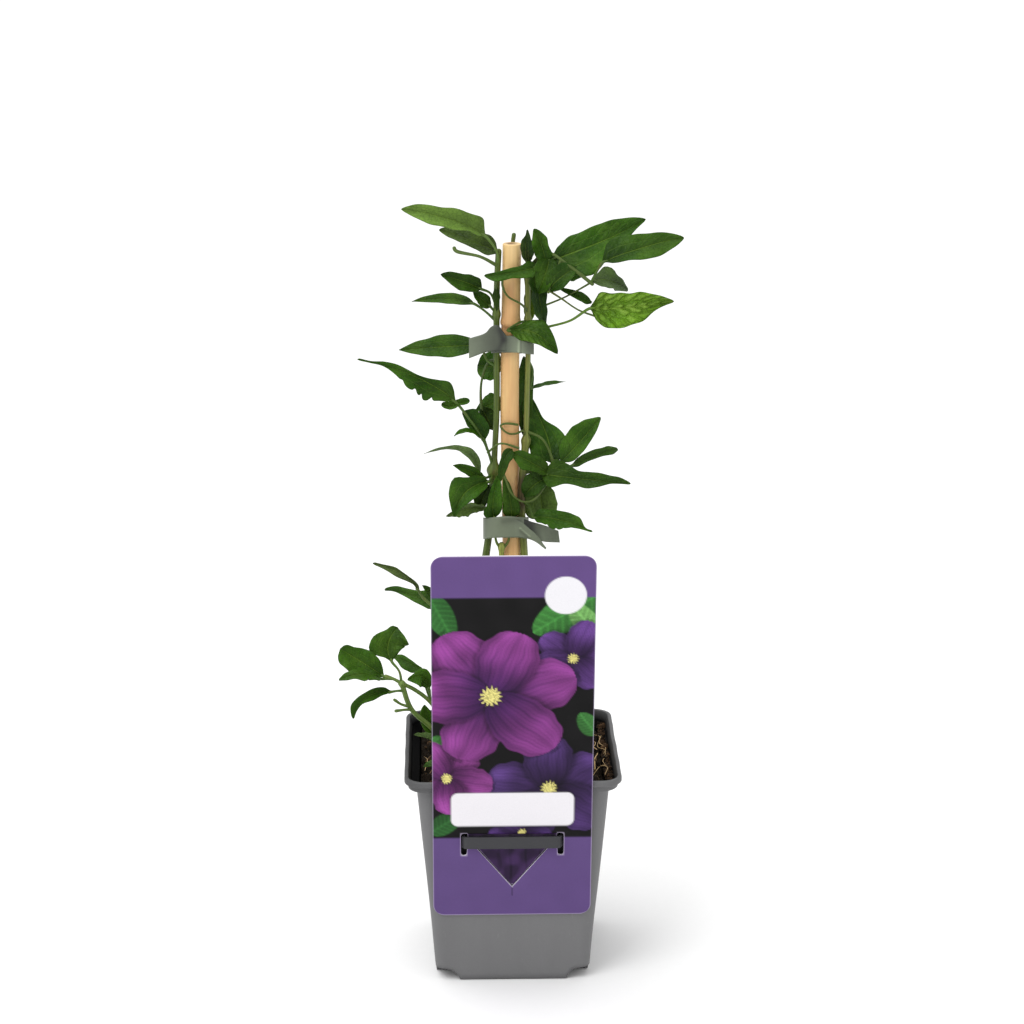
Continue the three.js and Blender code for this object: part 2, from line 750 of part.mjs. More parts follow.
// Everything that grew as one leafy stem, fused into one solid.
function leafyStem({ stems, knots, stalks, leaves }) {
  const bodies = stems.map(({ path, radius }) => solid(rod(path, radius, 7, Math.round(pathLength(path) / 12))));
  knots.forEach(({ at, radius }) => {
    bodies.push(solid(new THREE.IcosahedronGeometry(radius, 1).translate(...at)));
  });
  const stalkSteps = (path) => Math.max(2, Math.round(pathLength(path) / 5.5));
  const stalkRod = (path, radius) => solid(rod(path, radius, 4, stalkSteps(path)));
  stalks.forEach(({ path, radius }) => bodies.push(stalkRod(path, radius)));
  leaves.forEach((leaf) => {
    bodies.push(solid(blade(leaf)));
    if (leaf.stalk) {
      const [base, middle] = leaf.rib.map(vec);
      const inside = base.clone().lerp(middle, 0.12).toArray();
      bodies.push(stalkRod([...leaf.stalk, leaf.rib[0], inside], 0.6));
    }
  });
  return join(bodies);
}

// A post that clears a stem in the soil: a plain hole.
function hole([x, y], radius, low, sides = 12) {
  const ring = (z) => {
    const points = [];
    for (let k = 0; k < sides; k += 1) {
      const angle = (2 * Math.PI * k) / sides;
      points.push(new THREE.Vector3(x + radius * Math.cos(angle), y + radius * Math.sin(angle), z));
    }
    return points;
  };
  return solid(loft([ring(low), ring(pot.height + 10)]));
}

// The block that is cut from under each corner of the pot, grown by a margin.
function cornerBlock(xSign, ySign, margin) {
  const steps = [[-0.2, -3], [0, 0], [0.8, 2.4], [2.4, 4.2], [5, pot.footHeight]];
  const rings = steps.map(([inward, z]) => {
    const near = pot.footHalf + inward - margin;
    const far = 60;
    const height = z + (z > 0 ? margin : 0);
    const corners = [[near, near], [far, near], [far, far], [near, far]];
    const ring = corners.map(([x, y]) => new THREE.Vector3(x * xSign, y * ySign, height));
    return xSign * ySign > 0 ? ring : ring.reverse();
  });
  return solid(loft(rings));
}

const corners = [[1, 1], [-1, 1], [-1, -1], [1, -1]];
const cutCorners = (body, margin) =>
  corners.reduce((left, [xSign, ySign]) => left.subtract(cornerBlock(xSign, ySign, margin)), body);

function barBody() {
  const { x, half, foot, low, high, inner, outer, bow } = bar;
  const wallY = -36.5;
  const plan = new THREE.Shape();
  plan.moveTo(x - half, wallY);
  plan.lineTo(x - half, -outer);
  plan.quadraticCurveTo(x, -outer - 2 * bow, x + half, -outer);
  plan.lineTo(x + half, wallY);
  plan.lineTo(x + half - foot, wallY);
  plan.lineTo(x + half - foot, -inner);
  plan.quadraticCurveTo(x, -inner - 2 * bow, x - half + foot, -inner);
  plan.lineTo(x - half + foot, wallY);
  plan.closePath();
  const slab = new THREE.ExtrudeGeometry(plan, { depth: high - low, bevelEnabled: false, curveSegments: 8 });
  return solid(slab.translate(0, 0, low));
}

function potBody() {
  const shell = cutCorners(solid(loft(pot.outside.map((row) => squareRing(...row)))), 0);
  const inside = cutCorners(solid(loft(pot.inside.map((row) => squareRing(...row)))), 1.7);
  const drains = corners.map(([xSign, ySign]) =>
    hole([xSign * pot.drainAt, ySign * pot.drainAt], pot.drainRadius, 2),
  );
  const lower = solid(loft([squareRing(45, 2, 5), squareRing(45, 9, 5)]));
  const bored = drains.reduce((left, drain) => left.subtract(drain.intersect(lower)), shell.subtract(inside));
  return bored.add(barBody().subtract(inside));
}

// Peat that fills the pot: the inside of the pot with a clearance, under a rough top.
function soilBody() {
  const rings = pot.inside.map(([half, z, corner]) => squareRing(half - gap, z + gap, corner));
  const filling = cutCorners(solid(loft(rings)), 1.7 + gap);
  const side = 90;
  const block = new THREE.BoxGeometry(side, side, 100, soil.cells, soil.cells, 1).translate(0, 0, -50);
  const spots = block.getAttribute("position");
  for (let i = 0; i < spots.count; i += 1) {
    if (spots.getZ(i) > -1) {
      const [x, y] = [spots.getX(i), spots.getY(i)];
      const lumps = Math.sin(x * 0.31 + 1.3) * Math.cos(y * 0.27 - 0.4) + 0.6 * Math.sin(x * 0.71 - y * 0.53);
      spots.setZ(i, soil.level + soil.slope * y + soil.relief * lumps);
    }
  }
  const climbers = [leftClimber, middleClimber, rightClimber, lowShoot];
  const holes = [
    hole(cane.path[0], cane.radius + gap, cane.path[0][2] - gap, 20),
    ...climbers.map(({ soilHole }) => hole(soilHole.at, soilHole.radius + gap, 76 - gap)),
  ];
  return holes.reduce((left, post) => left.subtract(post), filling.intersect(solid(block)));
}

function caneBody() {
  const pole = solid(rod(cane.path, cane.radius, cane.sides, cane.steps));
  const { at, radius, height } = cane.knot;
  const inside = cane.radius - 0.4;
  const profile = [[0, -height / 2], [inside, -height / 2], [radius, 0], [inside, height / 2], [0, height / 2]];
  const knot = new THREE.LatheGeometry(profile.map(([r, z]) => new THREE.Vector2(r, z)), 18);
  return pole.add(solid(knot.rotateX(Math.PI / 2).translate(...at)));
}

// The label lies in its own plane first, u across and w up, and is then leaned on the pot.
function onLabel(geometry) {
  return geometry
    .rotateX(Math.PI / 2)
    .rotateX(label.lean)
    .translate(label.x, label.footY, label.footZ);
}

function labelBody() {
  const { width, height, corner, thick, slot, vee, kerf } = label;
  const half = width / 2;
  const edge = new THREE.Shape();
  edge.moveTo(-half + corner, 0);
  edge.lineTo(half - corner, 0);
  edge.absarc(half - corner, corner, corner, -Math.PI / 2, 0);
  edge.lineTo(half, height - corner);
  edge.absarc(half - corner, height - corner, corner, 0, Math.PI / 2);
  edge.lineTo(-half + corner, height);
  edge.absarc(-half + corner, height - corner, corner, Math.PI / 2, Math.PI);
  edge.lineTo(-half, corner);
  edge.absarc(-half + corner, corner, corner, Math.PI, 1.5 * Math.PI);
  const cut = [
    [-slot.half, slot.top],
    [-slot.half, slot.pocketFoot + 0.8],
    [-slot.half + 0.8, slot.pocketFoot],
    [-slot.half + slot.pocketWidth - 0.8, slot.pocketFoot],
    [-slot.half + slot.pocketWidth, slot.pocketFoot + 0.8],
    [-slot.half + slot.pocketWidth + 0.4, slot.shoulder],
    [-vee.half, slot.shoulder],
    [0, vee.tip],
    [vee.half, slot.shoulder],
    [slot.half - slot.pocketWidth - 0.4, slot.shoulder],
    [slot.half - slot.pocketWidth, slot.pocketFoot + 0.8],
    [slot.half - slot.pocketWidth + 0.8, slot.pocketFoot],
    [slot.half - 0.8, slot.pocketFoot],
    [slot.half, slot.pocketFoot + 0.8],
    [slot.half, slot.top],
  ];
  const opening = new THREE.Path();
  opening.setFromPoints(cut.map(([u, w]) => new THREE.Vector2(u, w)));
  opening.closePath();
  edge.holes.push(opening);
  const plate = new THREE.ExtrudeGeometry(edge, { depth: thick, bevelEnabled: false, curveSegments: 5 });
  const card = solid(onLabel(plate.translate(0, 0, -thick / 2)));

  // the tongue: joined along the slot's top edge, pressed back behind the bar, its tip coming forward
  const pocketSide = slot.half - slot.pocketWidth - 0.2;
  const veeSlope = vee.half / (slot.shoulder - vee.tip);
  const veeMiddle = (slot.shoulder + vee.tip) / 2;
  const rows = [
    [slot.top + 0.6, pocketSide, 0],
    [slot.top - 0.4, pocketSide, 0.15],
    [slot.top - 2.2, pocketSide, label.tongueBack],
    [slot.shoulder + 0.5, pocketSide, label.tongueBack],
    [slot.shoulder - 0.1, vee.half - kerf * 1.6, label.tongueBack],
    [veeMiddle, (veeMiddle - vee.tip) * veeSlope - kerf * 1.4, label.tongueBack * 0.5],
    [vee.tip + 1.2, 0.35, 0.1],
  ];
  const grid = rows.map(([w, reach, back]) => [-1, 0, 1].map((t) => new THREE.Vector3(t * reach, w, -back)));
  return card.add(solid(onLabel(sheet(grid, thick))));
}

// A tape tie: a loop round the cane and the stems, higher in front, with its ends standing out as wings.
function tieLoop({ middle, half, z, height, rise, bulge }) {
  const oval = (grow, path) => {
    for (let k = 0; k < 28; k += 1) {
      const angle = (2 * Math.PI * k) / 28;
      const power = (n) => Math.sign(n) * Math.abs(n) ** bulge;
      const x = (half[0] + grow) * power(Math.cos(angle));
      const y = (half[1] + grow) * power(Math.sin(angle));
      if (k === 0) path.moveTo(x, y);
      else path.lineTo(x, y);
    }
    path.closePath();
    return path;
  };
  const band = oval(0, new THREE.Shape());
  band.holes.push(oval(-ties.thick, new THREE.Path()));
  const ring = new THREE.ExtrudeGeometry(band, { depth: height, bevelEnabled: false });
  ring.applyMatrix4(new THREE.Matrix4().makeShear(0, 0, 0, -rise, 0, 0));
  return solid(ring.translate(middle[0], middle[1], z - height / 2));
}

// A wing of tape through pairs of lower and upper edge points.
const wing = (pairs) =>
  solid(sheet(pairs.map(([low, high]) => [vec(low), vec(low).lerp(vec(high), 0.5), vec(high)]), ties.thick));

const upperTie = () =>
  join([
    tieLoop(ties.upper),
    wing([
      [[-2, -6.6, 266], [-2, -6.6, 272.6]],
      [[-5.8, -6.7, 266], [-5.8, -6.8, 277.4]],
      [[-8.2, -6.5, 265.8], [-8.2, -6.6, 276.4]],
      [[-10.6, -6.3, 265.4], [-10.6, -6.3, 273.6]],
      [[-17.2, -6.3, 262.8], [-17.2, -5.6, 271.2]],
    ]),
    wing([
      [[1, -6.6, 266], [1, -6.6, 272]],
      [[5, -6.3, 264.8], [5, -6.3, 270]],
      [[9.2, -5.2, 264.2], [9.2, -5.2, 268.6]],
    ]),
  ]);

const lowerTie = () =>
  join([
    tieLoop(ties.lower),
    wing([
      [[1, -9.4, 187.8], [1, -9.4, 195.8]],
      [[4, -9.8, 188], [4, -9.6, 194.6]],
      [[6.8, -9.9, 187.4], [6.8, -9.8, 192.2]],
      [[10, -10.1, 186], [10, -10, 189.4]],
      [[14, -10.6, 182.8], [14.4, -10.4, 183.6]],
    ]),
    wing([
      [[5, -8.2, 189], [5, -8.2, 195.4]],
      [[9, -7, 186.6], [9, -6.8, 193.6]],
      [[14, -5.6, 184.8], [14, -5, 191.6]],
      [[20.2, -4, 184], [19.6, -3.4, 188.8]],
    ]),
  ]);

// ---------------------------------------------------------------- scene graph

const finish = (color, roughness) => new THREE.MeshStandardMaterial({ color, roughness, metalness: 0 });

const pieces = [
  ["pot", potBody(), finish(0x737476, 0.5)],
  ["soil", soilBody(), finish(0x2a1c12, 0.95)],
  ["cane", caneBody(), finish(0xdeb887, 0.6)],
  ["label", labelBody(), finish(0x6a4f8e, 0.35)],
  ["tie_upper", upperTie(), finish(0x6e786e, 0.5)],
  ["tie_lower", lowerTie(), finish(0x6e786e, 0.5)],
  ["stem_left", leafyStem(leftClimber), finish(0x3f6a22, 0.55)],
  ["stem_middle", leafyStem(middleClimber), finish(0x4c7a2a, 0.55)],
  ["stem_right", leafyStem(rightClimber), finish(0x35601f, 0.55)],
  ["shoot_low", leafyStem(lowShoot), finish(0x466f26, 0.55)],
];

const pottedClematis = new THREE.Group();
pieces.forEach(([name, body, material]) => {
  const mesh = new THREE.Mesh(geometryOf(body), material);
  mesh.name = name;
  pottedClematis.add(mesh);
});

export default pottedClematis;
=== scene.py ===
import bpy
import numpy as np
from mathutils import Matrix


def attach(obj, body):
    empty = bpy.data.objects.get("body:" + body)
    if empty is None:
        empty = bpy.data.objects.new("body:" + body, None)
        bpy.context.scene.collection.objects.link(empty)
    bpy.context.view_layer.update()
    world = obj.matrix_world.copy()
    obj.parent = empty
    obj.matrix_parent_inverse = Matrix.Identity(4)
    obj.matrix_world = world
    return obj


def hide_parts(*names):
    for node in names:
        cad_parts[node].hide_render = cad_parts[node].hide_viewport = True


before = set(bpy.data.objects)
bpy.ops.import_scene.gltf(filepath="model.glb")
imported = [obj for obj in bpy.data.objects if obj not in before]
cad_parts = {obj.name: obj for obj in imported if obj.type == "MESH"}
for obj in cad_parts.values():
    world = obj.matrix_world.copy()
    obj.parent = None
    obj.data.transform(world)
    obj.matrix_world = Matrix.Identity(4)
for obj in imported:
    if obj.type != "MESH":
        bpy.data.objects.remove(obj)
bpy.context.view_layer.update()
mm = 0.001
print("frame loaded:", len(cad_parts), "nodes")


# camera, light and floor

studio = {
    "azimuth": -1.5,
    "elevation": 15.6,
    "distance": 1.175,
    "lens": 99.4,
    "target": (0.00046, 0.0, 0.1961),
    "world": 0.91,
    "sun": {"toward": (-0.28, 0.06, 1.0), "spread": 56, "power": 1.08},
    "key": {"place": (-0.7, -0.9, 1.3), "size": 0.7, "power": 9.0},
    "floor": {"reach": 40.0, "drop": 0.0003, "tones": ((0.86, 0.86, 0.86), (0.88, 0.88, 0.88))},
}


def linear(red, green, blue):
    # picture levels 0 to 255 turned into the linear levels that shaders use
    level = np.array([red, green, blue], float) / 255
    return np.where(level <= 0.04045, level / 12.92, ((level + 0.055) / 1.055) ** 2.4)


def lookFrom(place, target):
    # an object at place whose own -Z points at the target and whose X lies level
    back = np.array(place, float) - np.array(target, float)
    back /= np.linalg.norm(back)
    right = np.cross((0, 0, 1), back)
    right /= np.linalg.norm(right)
    up = np.cross(back, right)
    matrix = Matrix.Identity(4)
    for k in range(3):
        matrix[k][0], matrix[k][1], matrix[k][2], matrix[k][3] = right[k], up[k], back[k], place[k]
    return matrix


def buildStudio():
    a, e = np.radians(studio["azimuth"]), np.radians(studio["elevation"])
    back = np.array([np.sin(a) * np.cos(e), -np.cos(a) * np.cos(e), np.sin(e)])
    place = np.array(studio["target"]) + back * studio["distance"]
    lens = bpy.data.cameras.new("photoCamera")
    lens.lens = studio["lens"]
    lens.sensor_width = 36
    lens.clip_start = 0.05
    camera = bpy.data.objects.new("photoCamera", lens)
    camera.matrix_world = lookFrom(place, studio["target"])
    bpy.context.scene.collection.objects.link(camera)
    bpy.context.scene.camera = camera
    bpy.context.scene.view_settings.view_transform = "Standard"

    key = bpy.data.lights.new("keyLight", "AREA")
    key.energy = studio["key"]["power"]
    key.size = studio["key"]["size"]
    sun = bpy.data.lights.new("softSun", "SUN")
    sun.energy = studio["sun"]["power"]
    sun.angle = np.radians(studio["sun"]["spread"])
    for lamp, place in ((key, studio["key"]["place"]), (sun, studio["sun"]["toward"])):
        lampObject = bpy.data.objects.new(lamp.name, lamp)
        lampObject.matrix_world = lookFrom(place, (0, 0, 0.15) if lamp is key else (0, 0, 0))
        bpy.context.scene.collection.objects.link(lampObject)

    world = bpy.data.worlds.new("paleRoom")
    world.use_nodes = True
    sky = world.node_tree.nodes["Background"]
    sky.inputs["Color"].default_value = (1, 1, 1, 1)
    sky.inputs["Strength"].default_value = studio["world"]
    bpy.context.scene.world = world

    floorMesh = bpy.data.meshes.new("floor")
    reach = studio["floor"]["reach"]
    corners = [(-reach, -reach, 0), (reach, -reach, 0), (reach, reach, 0), (-reach, reach, 0)]
    floorMesh.from_pydata(corners, [], [(0, 1, 2, 3)])
    floor = bpy.data.objects.new("floor", floorMesh)
    floor.location.z = -studio["floor"]["drop"]
    bpy.context.scene.collection.objects.link(floor)
    paper, tree, shader = newMaterial("paleFloor")
    grain = noise(tree, objectPlace(tree), 300, 2)
    feed(tree, shader, "Base Color", blendColour(tree, grain, *studio["floor"]["tones"]))
    feed(tree, shader, "Roughness", 0.95)
    feed(tree, shader, "Specular IOR Level", 0.0)
    floorMesh.materials.append(paper)


# shader helpers


def newMaterial(name):
    made = bpy.data.materials.new(name)
    made.use_nodes = True
    tree = made.node_tree
    shader = tree.nodes["Principled BSDF"]
    return made, tree, shader


def feed(tree, node, key, value):
    # a socket takes another socket, or a plain number or colour
    if isinstance(value, bpy.types.NodeSocket):
        tree.links.new(value, node.inputs[key])
    elif value is not None:
        node.inputs[key].default_value = value


def calc(tree, operation, first, second=None, third=None):
    node = tree.nodes.new("ShaderNodeMath")
    node.operation = operation
    feed(tree, node, 0, first)
    feed(tree, node, 1, second)
    feed(tree, node, 2, third)
    return node.outputs[0]


def product(tree, first, second):
    return calc(tree, "MULTIPLY", first, second)


def scaled(tree, value, factor, extra):
    # value * factor + extra
    return calc(tree, "MULTIPLY_ADD", value, factor, extra)


def band(tree, value, low, high, start=0.0, end=1.0):
    # runs smoothly from start to end as the value goes from low to high
    node = tree.nodes.new("ShaderNodeMapRange")
    node.interpolation_type = "SMOOTHSTEP"
    feed(tree, node, "Value", value)
    feed(tree, node, "From Min", low)
    feed(tree, node, "From Max", high)
    feed(tree, node, "To Min", start)
    feed(tree, node, "To Max", end)
    return node.outputs["Result"]


def blendColour(tree, share, first, second, mode="MIX"):
    node = tree.nodes.new("ShaderNodeMix")
    node.data_type = "RGBA"
    node.blend_type = mode
    feed(tree, node, "Factor", share)
    feed(tree, node, 6, first if isinstance(first, bpy.types.NodeSocket) else (*first, 1))
    feed(tree, node, 7, second if isinstance(second, bpy.types.NodeSocket) else (*second, 1))
    return node.outputs[2]


def noise(tree, vector, scale, detail=3.0, rough=0.55, stretch=None):
    if stretch is not None:
        mapping = tree.nodes.new("ShaderNodeMapping")
        mapping.inputs["Scale"].default_value = stretch
        tree.links.new(vector, mapping.inputs["Vector"])
        vector = mapping.outputs["Vector"]
    node = tree.nodes.new("ShaderNodeTexNoise")
    tree.links.new(vector, node.inputs["Vector"])
    node.inputs["Scale"].default_value = scale
    node.inputs["Detail"].default_value = detail
    node.inputs["Roughness"].default_value = rough
    return node.outputs["Fac"]


def cells(tree, vector, scale):
    # distance to the nearest border of a field of cells
    node = tree.nodes.new("ShaderNodeTexVoronoi")
    node.feature = "DISTANCE_TO_EDGE"
    tree.links.new(vector, node.inputs["Vector"])
    node.inputs["Scale"].default_value = scale
    return node.outputs["Distance"]


def attribute(tree, name, output):
    node = tree.nodes.new("ShaderNodeAttribute")
    node.attribute_name = name
    return node.outputs[output]


def objectPlace(tree):
    return tree.nodes.new("ShaderNodeTexCoord").outputs["Object"]


def parts(tree, vector):
    node = tree.nodes.new("ShaderNodeSeparateXYZ")
    tree.links.new(vector, node.inputs[0])
    return node.outputs[0], node.outputs[1], node.outputs[2]


def bump(tree, shader, height, distance, strength=1.0):
    node = tree.nodes.new("ShaderNodeBump")
    node.inputs["Strength"].default_value = strength
    node.inputs["Distance"].default_value = distance
    tree.links.new(height, node.inputs["Height"])
    feed(tree, shader, "Normal", node.outputs["Normal"])


# surface helpers


def newHeap():
    # surfaces that end up in one mesh: points, faces, a colour and a data vector for each point
    return {"points": [], "quads": [], "tris": [], "tint": [], "data": [], "count": 0}


def pour(heap, points, quads, tris=None, tint=(1, 1, 1), data=(0, 0, 0)):
    points = np.asarray(points, float).reshape(-1, 3)
    size = len(points)
    heap["points"].append(points)
    heap["quads"].append(np.asarray(quads, int).reshape(-1, 4) + heap["count"])
    if tris is not None:
        heap["tris"].append(np.asarray(tris, int).reshape(-1, 3) + heap["count"])
    heap["tint"].append(np.broadcast_to(np.asarray(tint, float), (size, 3)))
    heap["data"].append(np.broadcast_to(np.asarray(data, float), (size, 3)))
    heap["count"] += size


def gridQuads(rows, cols, loopRows=False, loopCols=False):
    # every cell of a grid as a quad, anticlockwise seen from where rows run up and columns run left
    i, j = np.meshgrid(
        np.arange(rows if loopRows else rows - 1), np.arange(cols if loopCols else cols - 1), indexing="ij"
    )
    below, right = (i + 1) % rows, (j + 1) % cols
    corners = [i * cols + j, below * cols + j, below * cols + right, i * cols + right]
    return np.stack(corners, -1).reshape(-1, 4)


def slab(heap, top, bottom, tint=(1, 1, 1), data=(0, 0, 0), under=(0, 0, 0), loop=False):
    # two grids of points, closed into one thin body along their borders
    rows, cols = top.shape[:2]
    size = rows * cols
    upper = gridQuads(rows, cols, loopRows=loop)
    sides = [upper, upper[:, ::-1] + size]

    def border(line):
        first, second = line[:-1], line[1:]
        return np.stack([first, second, second + size, first + size], -1)

    down = np.arange(rows) * cols
    if loop:
        down = np.append(down, 0)
    sides += [border(down)[:, ::-1], border(down + cols - 1)]
    if not loop:
        across = np.arange(cols)
        sides += [border(across), border(across + size - cols)[:, ::-1]]
    data = np.broadcast_to(np.asarray(data, float), (rows, cols, 3)).reshape(-1, 3)
    both = np.concatenate([data, data + np.asarray(under, float)])
    if np.ndim(tint) > 1:
        tint = np.concatenate([np.asarray(tint).reshape(-1, 3)] * 2)
    points = np.concatenate([top.reshape(-1, 3), bottom.reshape(-1, 3)])
    pour(heap, points, np.concatenate(sides), tint=tint, data=both)


def gridNormals(points, loop=False):
    # across each point, the product of the direction along the rows and the direction across them
    if loop:
        along = np.roll(points, -1, 0) - np.roll(points, 1, 0)
    else:
        along = np.gradient(points, axis=0)
    across = np.gradient(points, axis=1)
    normal = np.cross(along, across)
    return normal / np.maximum(np.linalg.norm(normal, axis=-1, keepdims=True), 1e-12)


def sheetBody(heap, points, thick, loop=False, **extra):
    # a sheet of even thickness about a grid of points
    normal = gridNormals(points, loop) * (thick / 2)
    slab(heap, points + normal, points - normal, loop=loop, **extra)


def smoothPath(points, count):
    # a centripetal Catmull-Rom curve through the points, sampled at even steps of its length
    p = np.asarray(points, float)
    ends = np.vstack([2 * p[0] - p[1], p, 2 * p[-1] - p[-2]])
    p0, p1, p2, p3 = ends[:-3], ends[1:-2], ends[2:-1], ends[3:]
    step = lambda a, b: np.maximum(np.sqrt(np.linalg.norm(b - a, axis=1, keepdims=True)), 1e-4)
    d0, d1, d2 = step(p0, p1), step(p1, p2), step(p2, p3)
    t1 = ((p1 - p0) / d0 - (p2 - p0) / (d0 + d1) + (p2 - p1) / d1) * d1
    t2 = ((p2 - p1) / d1 - (p3 - p1) / (d1 + d2) + (p3 - p2) / d2) * d1
    u = np.linspace(0, 1, 24, endpoint=False)[None, :, None]
    p1, p2, t1, t2 = p1[:, None], p2[:, None], t1[:, None], t2[:, None]
    fine = p1 + t1 * u + (3 * (p2 - p1) - 2 * t1 - t2) * u**2 + (2 * (p1 - p2) + t1 + t2) * u**3
    fine = np.vstack([fine.reshape(-1, 3), ends[-2]])
    walked = np.append(0, np.cumsum(np.linalg.norm(np.diff(fine, axis=0), axis=1)))
    even = np.linspace(0, walked[-1], count)
    return np.stack([np.interp(even, walked, fine[:, k]) for k in range(3)], -1)


def roundCorners(x, y, halfX, halfY, corner):
    # points of a rectangle about the origin, with each corner square pressed onto a quarter disc
    overX = np.maximum(np.abs(x) - (halfX - corner), 0) / corner
    overY = np.maximum(np.abs(y) - (halfY - corner), 0) / corner
    both = (overX > 0) & (overY > 0)
    roundX = np.sign(x) * (halfX - corner + corner * overX * np.sqrt(1 - overY**2 / 2))
    roundY = np.sign(y) * (halfY - corner + corner * overY * np.sqrt(1 - overX**2 / 2))
    return np.where(both, roundX, x), np.where(both, roundY, y)


def closeEnds(rows, sides):
    # triangles from the first and the last ring of a tube to two points listed after its rings
    last, j = rows * sides, np.arange(sides)
    following = (j + 1) % sides
    first = np.stack([np.full(sides, last), following, j], -1)
    return np.vstack([first, np.stack([first[:, 0] + 1, last - sides + j, last - sides + following], -1)])


def ringData(along, angle, radius):
    # how far along, where around and how thick, for each point of the rings and for the two end points
    data = np.stack(np.broadcast_arrays(along[:, None], angle[None], radius[:, None]), -1).reshape(-1, 3)
    return np.vstack([data, data[:1], data[-1:]])


def ringFrames(path):
    # two directions square to the path at every ring, carried along without twist
    along = np.gradient(path, axis=0)
    along /= np.linalg.norm(along, axis=1, keepdims=True)
    start = np.cross(along[0], (0.31, 0.2, 0.93) if abs(along[0][2]) < 0.8 else (0, -1, 0))
    first = [start / np.linalg.norm(start)]
    for k in range(1, len(path)):
        turned = first[-1] - along[k] * np.dot(first[-1], along[k])
        first.append(turned / np.linalg.norm(turned))
    first = np.array(first)
    return along, first, np.cross(along, first)


def tube(heap, path, radius, sides, tint=(1, 1, 1), ridges=0.0, ridgeCount=6):
    # circles of the given radius square to the path, with rounded ends; ridges run lengthwise
    path = np.asarray(path, float)
    radius = np.broadcast_to(np.asarray(radius, float), (len(path),)).copy()
    along, first, second = ringFrames(path)
    rise = np.radians([30, 60])
    lead = path[0] - along[0] * radius[0] * np.sin(rise[::-1, None])
    tail = path[-1] + along[-1] * radius[-1] * np.sin(rise[:, None])
    path = np.vstack([lead, path, tail])
    radius = np.concatenate([radius[0] * np.cos(rise[::-1]), radius, radius[-1] * np.cos(rise)])
    repeat = lambda v: np.vstack([v[:1], v[:1], v, v[-1:], v[-1:]])
    along, first, second = repeat(along), repeat(first), repeat(second)
    rows = len(path)
    angle = np.linspace(0, 2 * np.pi, sides, endpoint=False)
    reach = radius[:, None] * (1 + ridges * np.cos(ridgeCount * angle))[None]
    ring = path[:, None] + reach[..., None] * (
        first[:, None] * np.cos(angle)[None, :, None] + second[:, None] * np.sin(angle)[None, :, None]
    )
    ends = [path[0] - along[0] * radius[0] * 0.15, path[-1] + along[-1] * radius[-1] * 0.15]
    walked = np.append(0, np.cumsum(np.linalg.norm(np.diff(path, axis=0), axis=1)))
    if np.ndim(tint) > 1:
        tint = np.repeat(repeat(tint), sides, 0)
        tint = np.vstack([tint, tint[:1], tint[-1:]])
    quads = gridQuads(rows, sides, loopCols=True)[:, ::-1]
    points, data = np.vstack([ring.reshape(-1, 3), *ends]), ringData(walked, angle, radius)
    pour(heap, points, quads, closeEnds(rows, sides), tint, data)


def makePiece(name, heap, materials, node, smooth=True):
    points = np.concatenate(heap["points"])
    quads = np.concatenate(heap["quads"])
    tris = np.concatenate(heap["tris"]) if heap["tris"] else np.zeros((0, 3), int)
    mesh = bpy.data.meshes.new(name)
    mesh.vertices.add(len(points))
    mesh.vertices.foreach_set("co", points.ravel())
    mesh.loops.add(len(quads) * 4 + len(tris) * 3)
    mesh.loops.foreach_set("vertex_index", np.concatenate([quads.ravel(), tris.ravel()]))
    mesh.polygons.add(len(quads) + len(tris))
    starts = np.concatenate([np.arange(len(quads)) * 4, len(quads) * 4 + np.arange(len(tris)) * 3])
    mesh.polygons.foreach_set("loop_start", starts)
    mesh.update(calc_edges=True)
    mesh.validate()
    mesh.polygons.foreach_set("use_smooth", np.full(len(mesh.polygons), smooth))
    tint = mesh.attributes.new("tint", "FLOAT_COLOR", "POINT")
    colours = np.concatenate(heap["tint"])
    tint.data.foreach_set("color", np.hstack([colours, np.ones((len(points), 1))]).ravel())
    data = mesh.attributes.new("data", "FLOAT_VECTOR", "POINT")
    data.data.foreach_set("vector", np.concatenate(heap["data"]).ravel())
    for material in materials:
        mesh.materials.append(material)
    piece = bpy.data.objects.new(name, mesh)
    bpy.context.scene.collection.objects.link(piece)
    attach(piece, "root")
    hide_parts(node)
    return piece


def ripples(points, size, seed, count=9):
    # a smooth random field from -1 to 1: waves of about the given size in random directions
    draw = np.random.default_rng(seed)
    direction = draw.normal(size=(count, points.shape[-1]))
    direction /= np.linalg.norm(direction, axis=1, keepdims=True)
    pitch = 2 * np.pi / size * draw.uniform(0.7, 1.4, count)
    phase = draw.uniform(0, 2 * np.pi, count)
    waves = np.sin(points @ (direction * pitch[:, None]).T + phase)
    return waves.sum(-1) / np.sqrt(count)


# leaves and stems

# dark and shadow are painted shade: darker copies of the green for leaves deep inside the plant
tones = {
    "deep": linear(37, 70, 6),
    "mid": linear(45, 80, 7),
    "fresh": linear(48, 88, 6),
    "bright": linear(88, 128, 24),
    "olive": linear(95, 126, 52),
    "dusk": linear(74, 94, 48),
    "shadow": linear(54, 76, 26),
    "dark": linear(27, 52, 8),
    "pale": linear(98, 126, 54),
    "lime": linear(98, 134, 28),
}

leafLook = {
    "thick": 0.42,  # mm at the middle of the blade
    "midribDepth": 0.16,
    "quilt": 0.04,
    "veinLight": linear(122, 152, 58),
    "veinDark": linear(16, 38, 4),
    "edgePale": linear(120, 142, 72),
    "underPale": linear(98, 120, 66),
    "roughness": (0.3, 0.52),
}


